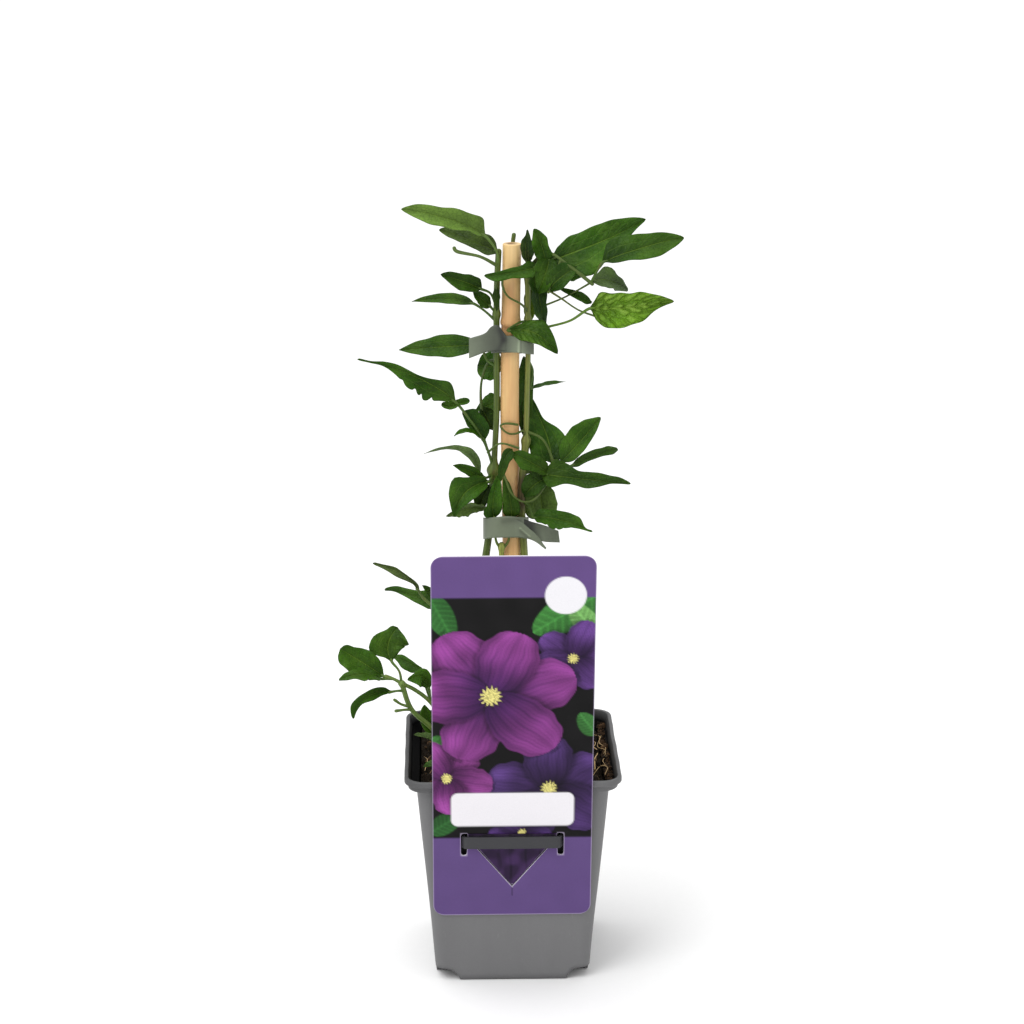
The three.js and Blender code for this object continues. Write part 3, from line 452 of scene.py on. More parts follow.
def leafMaterial():
    # tint from the leaf, a pale midrib, arched and side veins, a dark fine net and a matt pale underside
    made, tree, shader = newMaterial("leafGreen")
    tint = attribute(tree, "tint", "Color")
    along, across, mark = parts(tree, attribute(tree, "data", "Vector"))
    under, crinkle = calc(tree, "FLOOR", mark), calc(tree, "FRACT", mark)
    place = objectPlace(tree)
    out = calc(tree, "ABSOLUTE", across)
    midrib = product(tree, band(tree, out, 0.01, 0.06, 1, 0), band(tree, along, 0.5, 1.0, 1, 0.35))
    arch = calc(tree, "ABSOLUTE", calc(tree, "SUBTRACT", out, 0.47))
    arch = product(tree, band(tree, arch, 0.005, 0.04, 1, 0), band(tree, along, 0.55, 0.9, 1, 0))
    wobble = noise(tree, place, 160, 2)
    side = scaled(tree, along, 7.0, product(tree, out, -1.7))
    side = calc(tree, "FRACT", scaled(tree, wobble, 1.1, side))
    side = calc(tree, "ABSOLUTE", calc(tree, "SUBTRACT", side, 0.5))
    row = calc(tree, "FRACT", scaled(tree, out, 1.5, product(tree, wobble, 1.8)))
    pocket = calc(tree, "MINIMUM", side, calc(tree, "ABSOLUTE", calc(tree, "SUBTRACT", row, 0.5)))
    side = band(tree, side, 0.0, 0.06, 1, 0)
    net = band(tree, cells(tree, place, 560), 0.0, 0.12, 1, 0)
    fold = product(tree, band(tree, pocket, 0.0, 0.22, 1, 0), crinkle)
    pillow = product(tree, band(tree, pocket, 0.0, 0.45), crinkle)
    veins = calc(tree, "MAXIMUM", midrib, product(tree, arch, 0.34))
    veins = calc(tree, "MAXIMUM", veins, product(tree, side, 0.26))
    broad = noise(tree, place, 95, 3)
    cloud = noise(tree, place, 34, 2)
    fine = noise(tree, place, 1500, 2)
    shade = scaled(tree, broad, 0.7, 0.6)
    shade = product(tree, shade, scaled(tree, cloud, 0.9, 0.5))
    # painted shade: darker by the midrib and towards the base; painted light towards the margins
    shade = product(tree, shade, band(tree, out, 0.0, 0.9, 0.8, 1.12))
    shade = product(tree, shade, band(tree, along, 0.0, 0.5, 0.78, 1.0))
    shade = product(tree, shade, scaled(tree, fine, 0.3, 0.85))
    body = blendColour(tree, 1.0, tint, shade, "MULTIPLY")
    body = blendColour(tree, product(tree, net, 0.22), body, leafLook["veinDark"])
    # the vein creases are darker: partly the leaf's own vein colour, partly painted shade
    body = blendColour(tree, product(tree, fold, 0.09), body, leafLook["veinDark"])
    # painted highlight: lighter patches on the raised blisters between the veins, and here and there across
    # the blade
    glow = scaled(tree, pillow, 0.7, 0.07)
    glow = product(tree, band(tree, broad, 0.42, 0.7), glow)
    body = blendColour(tree, glow, body, leafLook["veinLight"])
    lightVein = blendColour(tree, 0.4, body, leafLook["veinLight"])
    top = blendColour(tree, product(tree, veins, 0.8), body, lightVein)
    rim = band(tree, out, 0.95, 1.0, 0, 0.1)
    top = blendColour(tree, rim, top, leafLook["edgePale"])
    below = blendColour(tree, 0.45, body, leafLook["underPale"])
    below = blendColour(tree, product(tree, veins, 0.6), below, leafLook["edgePale"])
    feed(tree, shader, "Base Color", blendColour(tree, under, top, below))
    low, high = leafLook["roughness"]
    rough = scaled(tree, broad, high - low, low)
    feed(tree, shader, "Roughness", scaled(tree, under, 0.15, rough))
    feed(tree, shader, "Specular IOR Level", 0.12)
    height = scaled(tree, veins, -1.2, product(tree, net, -0.35))
    height = scaled(tree, broad, 3.0, height)
    height = scaled(tree, calc(tree, "SUBTRACT", pillow, fold), 2.5, height)
    bump(tree, shader, height, 0.00025, 1.0)
    return made


def stemMaterial():
    # ribbed green stem: dark and light stripes lengthwise, reddish smears, small pale spots
    made, tree, shader = newMaterial("stemGreen")
    tint = attribute(tree, "tint", "Color")
    around = parts(tree, attribute(tree, "data", "Vector"))[1]
    place = objectPlace(tree)
    stripe = scaled(tree, calc(tree, "COSINE", product(tree, around, 6)), 0.16, 0.95)
    broad = noise(tree, place, 260, 3, stretch=(1, 1, 0.35))
    fine = noise(tree, place, 2200, 3, stretch=(1, 1, 0.3))
    shade = product(tree, stripe, scaled(tree, broad, 0.8, 0.6))
    shade = product(tree, shade, scaled(tree, fine, 0.4, 0.8))
    body = blendColour(tree, 1.0, tint, shade, "MULTIPLY")
    smear = band(tree, broad, 0.56, 0.72, 0, 0.35)
    feed(tree, shader, "Base Color", blendColour(tree, smear, body, linear(96, 66, 34)))
    feed(tree, shader, "Roughness", scaled(tree, fine, 0.3, 0.35))
    feed(tree, shader, "Specular IOR Level", 0.28)
    bump(tree, shader, calc(tree, "ADD", stripe, fine), 0.00012, 0.7)
    return made


# outlines: rise and fall of the half-width along the rib
lance = (0.65, 0.95)
ovate = (0.5, 0.75)
roundish = (0.5, 0.45)
strap = (0.3, 0.35)

# the ways that blades face
front = (0, -0.85, 0.5)
skyward = (0, -0.35, 0.95)
leftward = (-0.6, -0.7, 0.4)
rightward = (0.6, -0.7, 0.4)
underside = (0, -0.8, -0.6)


def evenCurve(values, share):
    # a smooth curve through values at even steps
    values = np.asarray(values, float)
    slope = np.gradient(values)
    at = np.clip(share * (len(values) - 1), 0, len(values) - 1.000001)
    step = at.astype(int)
    x = at - step
    start, stop = values[step], values[step + 1]
    curve = (1 + 2 * x) * (1 - x) ** 2 * start + x**2 * (3 - 2 * x) * stop
    return curve + x * (1 - x) ** 2 * slope[step] - x**2 * (1 - x) * slope[step + 1]


def leafSurface(
    heap, rib, tone, width=6, left=None, right=None, face=front, shape=lance,
    fold=0.27, wave=0.1, teeth=None, crinkle=0.05, seed=1,
):
    # a blade along a bent midrib, a quadratic curve through base, middle and tip. Its half-widths come
    # from measured lists for its two sides, at even steps from base to tip, or, at share s of its
    # length, from width/2 * s^rise * (1-s)^fall, scaled to 1 at its widest. Across, t runs from -1 to
    # 1; the halves rise by fold*|t|, and their edges wave out of step with each other.
    base, middle, tip = np.asarray(rib, float)
    length = np.linalg.norm(tip - base)
    widest = max(left + right) * 2 if left else width
    rows = int(np.clip(length * 1.1, 20, 60) * (1.6 if teeth else 1))
    cols = 2 * int(np.clip(widest * 0.7, 4, 9)) + 1
    x = np.linspace(0, 1, rows)
    s = (0.6 * x + 0.4 * (1 - np.cos(np.pi * x)) / 2)[:, None]
    t = np.linspace(-1, 1, cols)[None]
    pull = 2 * middle - (base + tip) / 2
    spine = (1 - s) ** 2 * base + 2 * s * (1 - s) * pull + s**2 * tip
    along = 2 * (1 - s) * (pull - base) + 2 * s * (tip - pull)
    along /= np.linalg.norm(along, axis=1, keepdims=True)
    side = np.cross(np.asarray(face, float), along)
    side /= np.linalg.norm(side, axis=1, keepdims=True)
    normal = np.cross(along, side)
    draw = np.random.default_rng(seed)
    turn = draw.uniform(0, 2 * np.pi, 6)
    if left:
        # a blunt tip closes as a half oval
        cap = 1 / (len(left) - 1) if max(left[-2], right[-2]) > 5 else 0.03
        if cap > 0.03:
            left, right = [*left[:-1], left[-2]], [*right[:-1], right[-2]]
        ends = np.minimum(1, s / 0.1) ** 0.5 * np.sqrt(1 - np.clip(1 - (1 - s) / cap, 0, 1) ** 2)
        half = np.where(t > 0, evenCurve(left, s), evenCurve(right, s)) * ends
    else:
        rise, fall = shape
        peak = rise / (rise + fall)
        half = width / 2 * s**rise * (1 - s) ** fall / (peak**rise * (1 - peak) ** fall)
    half = np.maximum(half, np.where(s < 0.5, 0.5, 0.12))
    half = half * (1 + 0.02 * np.sin(2 * np.pi * 2.7 * s + turn[0] + (t > 0) * turn[3]))
    if teeth:
        # sharp notches at the listed shares of the length, with round lobes between, on one side or both
        notches, depth, toothed = teeth
        notch = sum(np.exp(-np.abs(s - 0.03 * np.abs(t) - place) / 0.02) for place in notches)
        half = half * (1 - depth * notch * (t * toothed >= 0) * t**2)
    lift = fold * np.abs(t) + np.abs(t) ** 1.6 * wave * np.sin(2 * np.pi * (1.6 * s + 0.25 * np.sign(t)))
    lift = lift + np.abs(t) ** 3 * 0.08 * np.sin(2 * np.pi * 4.1 * s + turn[1] + (t > 0) * turn[2])
    lift = lift + t**2 * draw.uniform(-0.12, 0.1) + 0.05 * np.sin(2 * np.pi * 1.3 * s + turn[4] + 2 * t)
    quilt = np.cos(2 * np.pi * (7 * s - 1.7 * np.abs(t))) * (1 - t**2) * np.minimum(1, 5 * np.abs(t))
    lift = lift + leafLook["quilt"] * quilt
    groove = np.exp(-((t * half / 0.45) ** 2)) * leafLook["midribDepth"]
    outward, upward = (t * half)[..., None], (lift * half)[..., None]
    sheet = spine[:, None] + side[:, None] * outward + normal[:, None] * upward
    up = gridNormals(sheet)
    thick = leafLook["thick"] * (1 - 0.55 * np.abs(t) ** 3) * np.minimum(1, 0.35 + 3 * (1 - s))
    top = sheet + up * (thick / 2 - groove)[..., None]
    bottom = sheet - up * (thick / 2 + groove * 1.6 * (1 - s))[..., None]
    data = np.stack([s + 0 * t, t + 0 * s, crinkle + 0 * s * t], -1)
    level = draw.uniform(0.88, 1.12)
    hue = np.array([draw.uniform(0.92, 1.08), 1, draw.uniform(0.9, 1.1)])
    colour = tones[tone] * level * hue
    # painted light and shade: parts of the blade that face the sky are painted paler, and those that face
    # down darker
    colour = colour * (1 + 0.35 * (up[..., 2:] - 0.45))
    slab(heap, top * mm, bottom * mm, tint=colour, data=data, under=(0, 0, 1))


def stalkTube(heap, path, radius, tone):
    fine = smoothPath(path, 12 + int(len(path) * 6))
    taper = radius * (1 + 0.12 * np.cos(np.linspace(0, 2 * np.pi, len(fine))))
    tube(heap, fine * mm, taper * mm, 10, tint=tone, ridges=0.05, ridgeCount=3)


def stemTube(heap, path, radius, tone, knots, dark=None):
    # the radius swells smoothly at each knot; dark is a range of heights where the stem is darker and browner
    fine = smoothPath(path, int(roughLength(path) * 1.6))
    swell = np.full(len(fine), float(radius))
    for knot in knots:
        away = np.linalg.norm(fine - np.asarray(knot["at"]), axis=1)
        rise = (knot["radius"] - radius) * np.exp(-((away / (knot["radius"] * 0.9)) ** 2))
        swell = np.maximum(swell, radius + rise)
    swell *= 1 + 0.03 * ripples(fine, 14, 5)
    tint = np.repeat(np.asarray(tone)[None], len(fine), 0)
    if dark:
        share = np.clip((fine[:, 2:] - dark[0]) / 4, 0, 1) * np.clip((dark[1] - fine[:, 2:]) / 4, 0, 1)
        tint = tint * (1 - share) + linear(62, 54, 26) * share
    tube(heap, fine * mm, swell * mm, 26, tint=tint, ridges=0.05, ridgeCount=6)


def roughLength(path):
    return np.linalg.norm(np.diff(np.asarray(path, float), axis=0), axis=1).sum()


# leafy stems: paths and places in mm; a leaf lists its left and right half-widths from base to tip

leftClimber = {
    "stems": [
        {"radius": 1.5,
         "path": [[-9, 3, 76], [-9, 3, 92], [-11.6, 1, 135], [-11.2, -0.6, 170], [-9.1, -1, 188],
                  [-7.2, -1, 214]]},
        {"radius": 1.2,
         "path": [[-7.2, -1, 213], [-5.9, -1, 240], [-5.9, -1, 270], [-5.7, -1, 292], [-5, -1.2, 306]]},
    ],
    "knots": [
        {"at": [-7.2, -1.2, 214.5], "radius": 2.8}, {"at": [-11.7, 0.6, 141], "radius": 2.1},
        {"at": [-5.8, -1, 280], "radius": 1.7},
    ],
    "stalks": [
        {"radius": 0.7,
         "path": [[-5.4, -1.2, 300], [-12.5, -5, 304.5], [-22.5, -8, 307.6], [-23, -8, 308.6]]},
        {"radius": 0.45, "path": [[-9.6, -3, 222.5], [-4.5, -6, 227], [3, -5.6, 225]]},
        {"radius": 0.6,
         "path": [[-11.7, 0.5, 141], [-17, -2, 142], [-27.5, -8, 153], [-36.5, -12, 162.5]]},
    ],
    "leaves": [
        {"tone": "olive", "stalk": [[-5.2, -1.2, 300], [-5.7, -3, 306]],
         "rib": [[-10.5, -5, 313], [-24.5, -12, 321], [-44, -17, 326]],
         "left": [0.5, 2, 2, 3.5, 4.5, 5, 5, 3, 0.5], "right": [2, 5, 5, 4.5, 4.5, 3.5, 3.5, 2.5, 0.5]},
        {"tone": "shadow", "stalk": [[-5.2, -1.2, 300]],
         "rib": [[-5, -1, 305.5], [-16.5, 5, 309.5], [-29, 10, 313]],
         "left": [3, 3.5, 3, 3, 2.5, 2, 0.5], "right": [0.5, 4, 4.5, 4, 3.5, 2.5, 0.5]},
        {"tone": "deep", "stalk": [[-5.8, -1, 283], [-8.5, -2, 289]],
         "rib": [[-12, -4, 291], [-19.5, -8, 295], [-28.5, -11, 298.5]],
         "left": [0.5, 2.5, 3.5, 4.5, 4.5, 2.5, 0.5], "right": [2.5, 3.5, 3.5, 3, 2.5, 2, 0.5]},
        {"tone": "deep", "stalk": [[-5.8, -1, 280]],
         "rib": [[-8.5, -2, 283.5], [-12, -4, 287], [-15.5, -6, 290.5]], "width": 5.6, "shape": ovate},
        {"tone": "mid", "stalk": [[-5.9, -1, 277], [-11, 0, 281.5]],
         "rib": [[-15, 1, 284], [-26.5, 7, 285], [-40.5, 14, 282.5]], "width": 4.8},
        {"tone": "dark", "stalk": [[-5.7, -1, 295]],
         "rib": [[-6, -4, 292], [-5.6, -5.2, 287], [-6, -4.8, 282]], "width": 3.6, "face": leftward},
        {"tone": "mid", "stalk": [[-5.9, -1, 258], [-9.8, -1, 261]],
         "rib": [[-12.5, -1, 267], [-29, 4, 265.5], [-46, 10, 263]], "width": 9.6},
        {"tone": "mid", "stalk": [[-5.9, -1, 260], [-5.4, 3.4, 257.4]],
         "rib": [[-3.5, 6.2, 256], [-7.5, 8, 256], [-13.5, 10, 256.5]], "width": 13, "shape": roundish},
        {"tone": "dark", "stalk": [[-5.9, -1, 261], [-9, 2, 259.5], [-12, 3, 251]],
         "rib": [[-12, 3, 240], [-9.5, 4, 235], [-7, 4.4, 230]], "width": 7.4},
        {"tone": "mid", "stalk": [[-5.9, -1, 247], [-6.4, 3, 245.5]],
         "rib": [[-4, 6, 243], [-8, 6.5, 240.5], [-14.5, 7, 238]], "width": 9},
        {"tone": "mid", "stalk": [[-7.2, -1, 215], [-11, -4.6, 227]],
         "rib": [[-22.5, -9, 245], [-38.5, -16, 257.5], [-62, -25, 267]],
         "left": [0.5, 2.5, 4.5, 7, 8, 7.5, 6, 2.5, 0.5, 0.5, 0.5],
         "right": [0.5, 3, 4.5, 3, 1.5, 1, 1.5, 2, 1.5, 0.4, 0.5],
         "teeth": [[0.03, 0.26, 0.38, 0.47, 0.6], 0.36, 1]},
        {"tone": "mid", "rib": [[-21.5, -8.6, 245], [-25, -8.4, 243.6], [-28.5, -8, 244.5]],
         "width": 3.4, "shape": strap},
        {"tone": "mid", "rib": [[-23, -9, 245], [-20, -7.5, 245], [-17, -6.4, 245.5]], "width": 3,
         "shape": strap},
        {"tone": "deep", "stalk": [[-10.4, -4.2, 226]],
         "rib": [[-11, -5, 228], [-15, -5, 235], [-20, -4, 240]], "left": [0.5, 2, 2.5, 3, 2, 0.5],
         "right": [1, 4, 4.5, 4.5, 4, 0.5]},
        {"tone": "fresh", "stalk": [[-9.9, -3.5, 224]],
         "rib": [[-11, -5, 228], [-17.5, -9, 233], [-23.5, -13, 232]], "width": 4.2, "face": skyward},
        {"tone": "dusk", "stalk": [[-7.2, -1, 214], [-10, -2, 211.5]],
         "rib": [[-13, -3, 213.5], [-20, 5, 221.5], [-36, 13, 218]], "width": 4.6, "face": skyward},
        {"tone": "mid", "stalk": [[-7.2, -1, 213]],
         "rib": [[-11, -5, 212], [-18, -9, 216.5], [-24, -14, 220]], "width": 4.6},
        {"tone": "mid", "stalk": [[-7.2, -1, 213]],
         "rib": [[-9, -6, 211], [-18.5, -13, 208.5], [-23.5, -17, 199]],
         "left": [0.5, 3.5, 4.5, 5, 4, 2, 0.5], "right": [0.5, 3, 4, 7, 6, 3, 0.5], "fold": 0.4},
        {"tone": "pale", "stalk": [[-8.3, -1, 202]],
         "rib": [[-10, -4, 198.5], [-18, -6, 199.5], [-27, -9, 197]],
         "left": [0.5, 2, 3, 4, 3.5, 2.5, 0.4], "right": [0.5, 4, 5, 5, 4, 3, 0.4], "face": underside,
         "teeth": [[0.15, 0.27, 0.4, 0.52, 0.63, 0.75, 0.86], 0.16, 0]},
        {"tone": "dark", "stalk": [[-7.3, -1, 212]],
         "rib": [[-8, -2, 208.5], [-11.4, -3.2, 203.5], [-13.4, -3.2, 197.5]],
         "left": [0.5, 2, 2.5, 2.5, 2, 0.5], "right": [0.5, 3, 4.5, 4, 2.5, 0.5]},
        # the upper side shoot, which comes out behind the label
        {"tone": "dusk", "stalk": [[-36.5, -12, 162.5], [-38, -13, 165]],
         "rib": [[-38.5, -14, 166.5], [-45, -19, 175.5], [-57, -24, 181.5]],
         "left": [0.5, 0.5, 1.5, 2.5, 2.5, 1.5, 0.5], "right": [1, 1, 0.5, 0.5, 1, 0.5, 0.5]},
        {"tone": "mid", "stalk": [[-27.5, -8, 153]],
         "rib": [[-30.5, -9, 158], [-42, -3, 161.5], [-53, 4, 161.5]],
         "left": [3, 3, 2.5, 1.5, 0.4, 0.5], "right": [0.5, 4, 2.5, 2, 2, 0.5]},
        {"tone": "mid", "stalk": [[-30, -9.3, 156]],
         "rib": [[-32, -10, 162], [-34.5, -12, 166], [-37, -13, 168.5]], "width": 3},
    ],
}

middleClimber = {
    "stems": [
        {"radius": 1,
         "path": [[-5, -6, 76], [-5, -6, 92], [-4.8, -5.7, 130], [-4.3, -5.4, 165], [-4, -5.6, 183.5]]},
    ],
    "knots": [{"at": [-4, -5.6, 182.5], "radius": 1.5}],
    "stalks": [],
    "leaves": [
        {"tone": "fresh", "stalk": [[-4, -5.6, 181.5], [-6.2, -5.9, 185]],
         "rib": [[-7, -6.5, 195], [-7.5, -8, 203.5], [-5, -6.5, 214]],
         "left": [0.5, 4, 2.5, 2, 1.5, 0.5], "right": [0.5, 3, 4, 3.5, 2.5, 0.5], "fold": 0.3},
        {"tone": "mid", "stalk": [[-4, -5.6, 181.5], [-1.4, -5.9, 185]],
         "rib": [[0, -6.5, 195], [-0.5, -8, 203.5], [-3, -6.5, 213]],
         "left": [0.5, 3.5, 3.5, 3, 2, 0.5], "right": [0.5, 3.5, 3.5, 2, 1.5, 0.5], "fold": 0.3},
    ],
}

rightClimber = {
    "stems": [
        {"radius": 1.5,
         "path": [[8, 3, 76], [8, 3, 92], [7.4, 2, 130], [6.2, -0.8, 165], [5.3, -2.8, 182],
                  [4.3, -4, 197], [4.3, -3.8, 206], [4.9, -3.2, 214], [6.2, -1, 227]]},
        {"radius": 1.05,
         "path": [[6.2, -1, 226], [6.6, -1, 245], [7, -1, 262], [6.9, -1, 280], [6.8, -1.5, 298],
                  [7.2, -2.4, 306]]},
    ],
    "knots": [{"at": [6.3, -1, 227], "radius": 2}, {"at": [6.9, -1.1, 278], "radius": 1.7}],
    "stalks": [
        {"radius": 0.7,
         "path": [[6.8, -1.6, 299], [14.5, -5, 306], [23, -9, 301.5], [32.5, -12, 294.5]]},
        {"radius": 0.6, "path": [[20, -7.6, 303.4], [18, -9, 298], [15, -8, 290.5]]},
        {"radius": 0.8,
         "path": [[6.8, -1, 290], [5.6, 3.6, 296], [1.8, 5.4, 302.5], [1, 5, 308], [1.4, 5, 311.6]]},
        {"radius": 0.7, "path": [[4.9, -3.2, 213.5], [12, -3.4, 215.5], [19.5, -6, 216.8]]},
        {"radius": 0.55, "path": [[6.2, -1, 231], [13, -4, 228], [18, -6, 217.5]]},
        {"radius": 0.45,
         "path": [[6.9, -1, 281], [4, -5, 285], [-1.5, -6, 288.5], [-3.6, -6.6, 293], [-3.2, -8, 298]]},
        {"radius": 0.45,
         "path": [[6.2, -1, 228], [4.9, -2.8, 231.5], [2.5, -4.7, 231], [-0.5, -5.2, 230.9],
                  [-3.2, -4.7, 232.3], [-4.3, -4, 234], [-3, -4.8, 235], [-0.5, -5.2, 235.2],
                  [2.5, -4.7, 234.6]]},
        {"radius": 0.45,
         "path": [[14.5, -6.2, 210], [9, -8.6, 203.5], [4, -10, 203.5], [0, -10.4, 207], [-3, -10, 214.5]]},
        {"radius": 0.4,
         "path": [[12.6, -5, 284], [21, -5.4, 287.5], [26, -7, 290.5], [32, -11.4, 295]]},
        {"radius": 0.4,
         "path": [[15.6, -8, 290.8], [20, -8.4, 288], [27, -10, 283.5], [34.5, -12, 281]]},
    ],
    "leaves": [
        {"tone": "mid", "stalk": [[6.8, -1.4, 296], [9.5, -4, 299.5]],
         "rib": [[10.5, -6, 300.5], [0.5, -8, 298.5], [-11, -9, 297.5]],
         "left": [0.5, 4, 3.5, 2.5, 3, 3, 0.5], "right": [3.5, 3, 2, 2, 1.5, 1, 0.5]},
        {"tone": "dark", "stalk": [[7.2, -2.2, 299]],
         "rib": [[6.4, -3.5, 301.5], [5.8, -5, 309], [6.6, -5, 315.5]],
         "left": [0.5, 2, 2.5, 2, 0.5, 0.5], "right": [0.5, 4, 5.5, 4, 2.5, 0.5], "face": leftward},
        {"tone": "fresh", "stalk": [[7.1, -2.2, 301]],
         "rib": [[14, -5, 302], [12, -7, 310], [9, -9, 316.5]], "left": [0.5, 3.5, 4, 4.5, 3, 0.5],
         "right": [1.5, 3, 2.5, 3, 2, 0.5], "fold": 0.35},
        {"tone": "mid", "stalk": [[14.5, -5, 306]],
         "rib": [[16, -4, 303], [35.5, 5, 308], [55.5, 13, 316.5]],
         "left": [2, 4.5, 6.5, 7, 7, 6.5, 5.5, 4, 0.5], "right": [13, 12, 13, 11, 8, 5.5, 4, 2, 0.5],
         "crinkle": 0.15},
        {"tone": "mid", "stalk": [[32, -12, 295], [34, -13, 299.5]],
         "rib": [[36.5, -13, 303.5], [52.5, -16, 310], [69, -14, 313.5]],
         "left": [2.5, 7, 7.5, 6, 5, 4, 3, 0.5], "right": [0.5, 2.5, 3.5, 5, 5.5, 5, 3.5, 0.5]},
        {"tone": "dusk", "stalk": [[32, -12, 295]],
         "rib": [[32.5, -11, 295.5], [40.5, -3, 294], [48, 4, 288.5]], "left": [0.5, 3, 5.5, 3, 2, 0.5],
         "right": [3, 4.5, 5, 4, 2.5, 0.5]},
        {"tone": "deep", "rib": [[15, -8, 291], [19.5, -10, 296.5], [26.5, -9, 301]],
         "left": [0.5, 3, 4.5, 4.5, 4, 0.5], "right": [1, 3, 4.5, 4, 3, 0.5]},
        {"tone": "dark", "stalk": [[11, -3.6, 304]],
         "rib": [[12, -3, 298.5], [11.5, -6, 287.5], [13.5, -9, 276]],
         "left": [2.5, 4, 3.5, 2.5, 2.5, 0.5], "right": [0.5, 7.5, 6, 4.5, 4, 0.5], "face": rightward},
        {"tone": "mid", "stalk": [[14.5, -5, 306]],
         "rib": [[15.5, -5, 304], [13.5, -7, 297], [10.5, -6, 289.5]],
         "left": [2.5, 4, 4.5, 4, 3.5, 0.5], "right": [3, 4.5, 5, 4, 2.5, 0.5], "fold": 0.3},
        {"tone": "lime", "stalk": [[6.9, -1, 293]], "rib": [[8, 2, 291], [8, 3, 283.5], [8, 3, 276]],
         "left": [0.5, 1.5, 2, 2, 0.5], "right": [0.5, 2.5, 2.5, 2.5, 0.5]},
        {"tone": "bright", "stalk": [[6.9, -1, 273], [16, -5, 275.8], [24, -9, 279]],
         "rib": [[31.5, -12, 284.5], [47.5, -17, 286], [65, -18, 288.5]],
         "left": [2.5, 6.5, 6.5, 6, 5.5, 5.5, 4.5, 3, 0.5],
         "right": [1, 6, 9, 9.5, 8, 6.5, 3.5, 1.5, 0.5], "fold": 0.16, "crinkle": 0.9},
        {"tone": "mid", "rib": [[32.5, -8, 286], [26.5, -6, 289], [20, -4, 291]],
         "left": [2, 2, 2, 1.5, 0.5], "right": [0.5, 1.5, 1.5, 1, 0.5]},
        {"tone": "mid", "stalk": [[6.9, -1, 277], [3.5, -5.2, 277.5]],
         "rib": [[-1.5, -7, 274.5], [9, -12, 274.5], [18.5, -15, 266.5]],
         "left": [0.5, 1.5, 4, 6, 5, 3, 0.5], "right": [0.5, 3.5, 5, 4.5, 3.5, 2.5, 0.5],
         "crinkle": 0.25},
        # behind and beside the right stem
        {"tone": "mid", "stalk": [[18, -6, 217.5]],
         "rib": [[17, -3, 218], [14.5, 4, 229], [7.5, 7, 244.5]],
         "left": [6, 8.5, 8.5, 7.5, 7.5, 6, 0.5], "right": [4, 7, 7.5, 5.5, 1.5, 1, 0.5]},
        {"tone": "mid", "stalk": [[6.2, -1, 223]],
         "rib": [[6.5, 3, 225], [6.5, 6, 242.5], [5.5, 6, 261]], "left": [0.5, 3, 3.5, 3.5, 3, 0.5],
         "right": [0.5, 2, 2.5, 3, 3.5, 0.5]},
        {"tone": "mid", "stalk": [[7, -1, 261], [9, 0.4, 256]],
         "rib": [[8, 1, 248.5], [15.5, 6, 249.3], [23, 11, 249]], "width": 3, "face": skyward},
        # the dense leaf on the right
        {"tone": "mid", "rib": [[20, -6, 218.5], [29, 3, 225.5], [37.5, 10, 234]],
         "left": [0.5, 4.5, 6, 6.5, 5.5, 4, 0.5], "right": [0.5, 3.5, 4, 3.5, 3, 2, 0.5]},
        {"tone": "mid", "stalk": [[19.5, -6, 216.8]],
         "rib": [[24.5, -5, 217], [36, 4, 219.5], [45, 11, 220]], "left": [0.5, 2, 2.5, 2, 2, 0.5],
         "right": [2, 1.5, 1.5, 1.5, 2, 0.5]},
        {"tone": "mid", "stalk": [[9, -3.2, 214.8]],
         "rib": [[12.5, -6, 214], [31.5, -12, 213], [48.5, -17, 212.5]],
         "left": [2.5, 6, 5.5, 3, 3, 3, 2.5, 2, 0.5], "right": [3.5, 6, 3.5, 3.5, 4, 3, 1, 0.5, 0.5]},
        {"tone": "mid", "rib": [[15, -6, 214.5], [7.5, -9, 220], [0, -8, 223.5]],
         "left": [2.5, 2.5, 3.5, 5, 3, 0.5], "right": [2, 3.5, 3.5, 3, 2.5, 0.5]},
        {"tone": "deep", "rib": [[0.5, -9, 225], [-3, -10, 221], [-4.5, -10, 212]],
         "left": [2, 3, 2.5, 2, 0.5], "right": [1, 2, 1.5, 1.5, 0.5], "fold": 0.3},
        {"tone": "deep", "stalk": [[12, -3.4, 215.5]],
         "rib": [[15, -5, 212], [10, -6, 209.5], [5, -5, 204]], "left": [0.5, 3, 3.5, 4, 3, 0.5],
         "right": [0.5, 4, 5, 5, 3.5, 0.5]},
        {"tone": "olive", "stalk": [[11, -3.3, 215.2]],
         "rib": [[12.5, 0, 209], [12.5, 1, 201], [13.5, 2, 193]], "left": [3, 5.5, 6.5, 6.5, 3],
         "right": [3, 6, 7, 7, 4]},
        {"tone": "mid", "stalk": [[4.4, -3.9, 202], [7.4, -6.2, 200]],
         "rib": [[9, -8, 196], [20, -14, 196.5], [33, -18, 192.5]],
         "left": [1.5, 3, 3.5, 3.5, 3.5, 3.5, 3.5, 3, 0.4, 0.5],
         "right": [1, 2.5, 3, 4, 5, 4.5, 2.5, 1.5, 1, 0.5],
         "teeth": [[0.3, 0.46, 0.57, 0.68], 0.2, -1]},
    ],
}

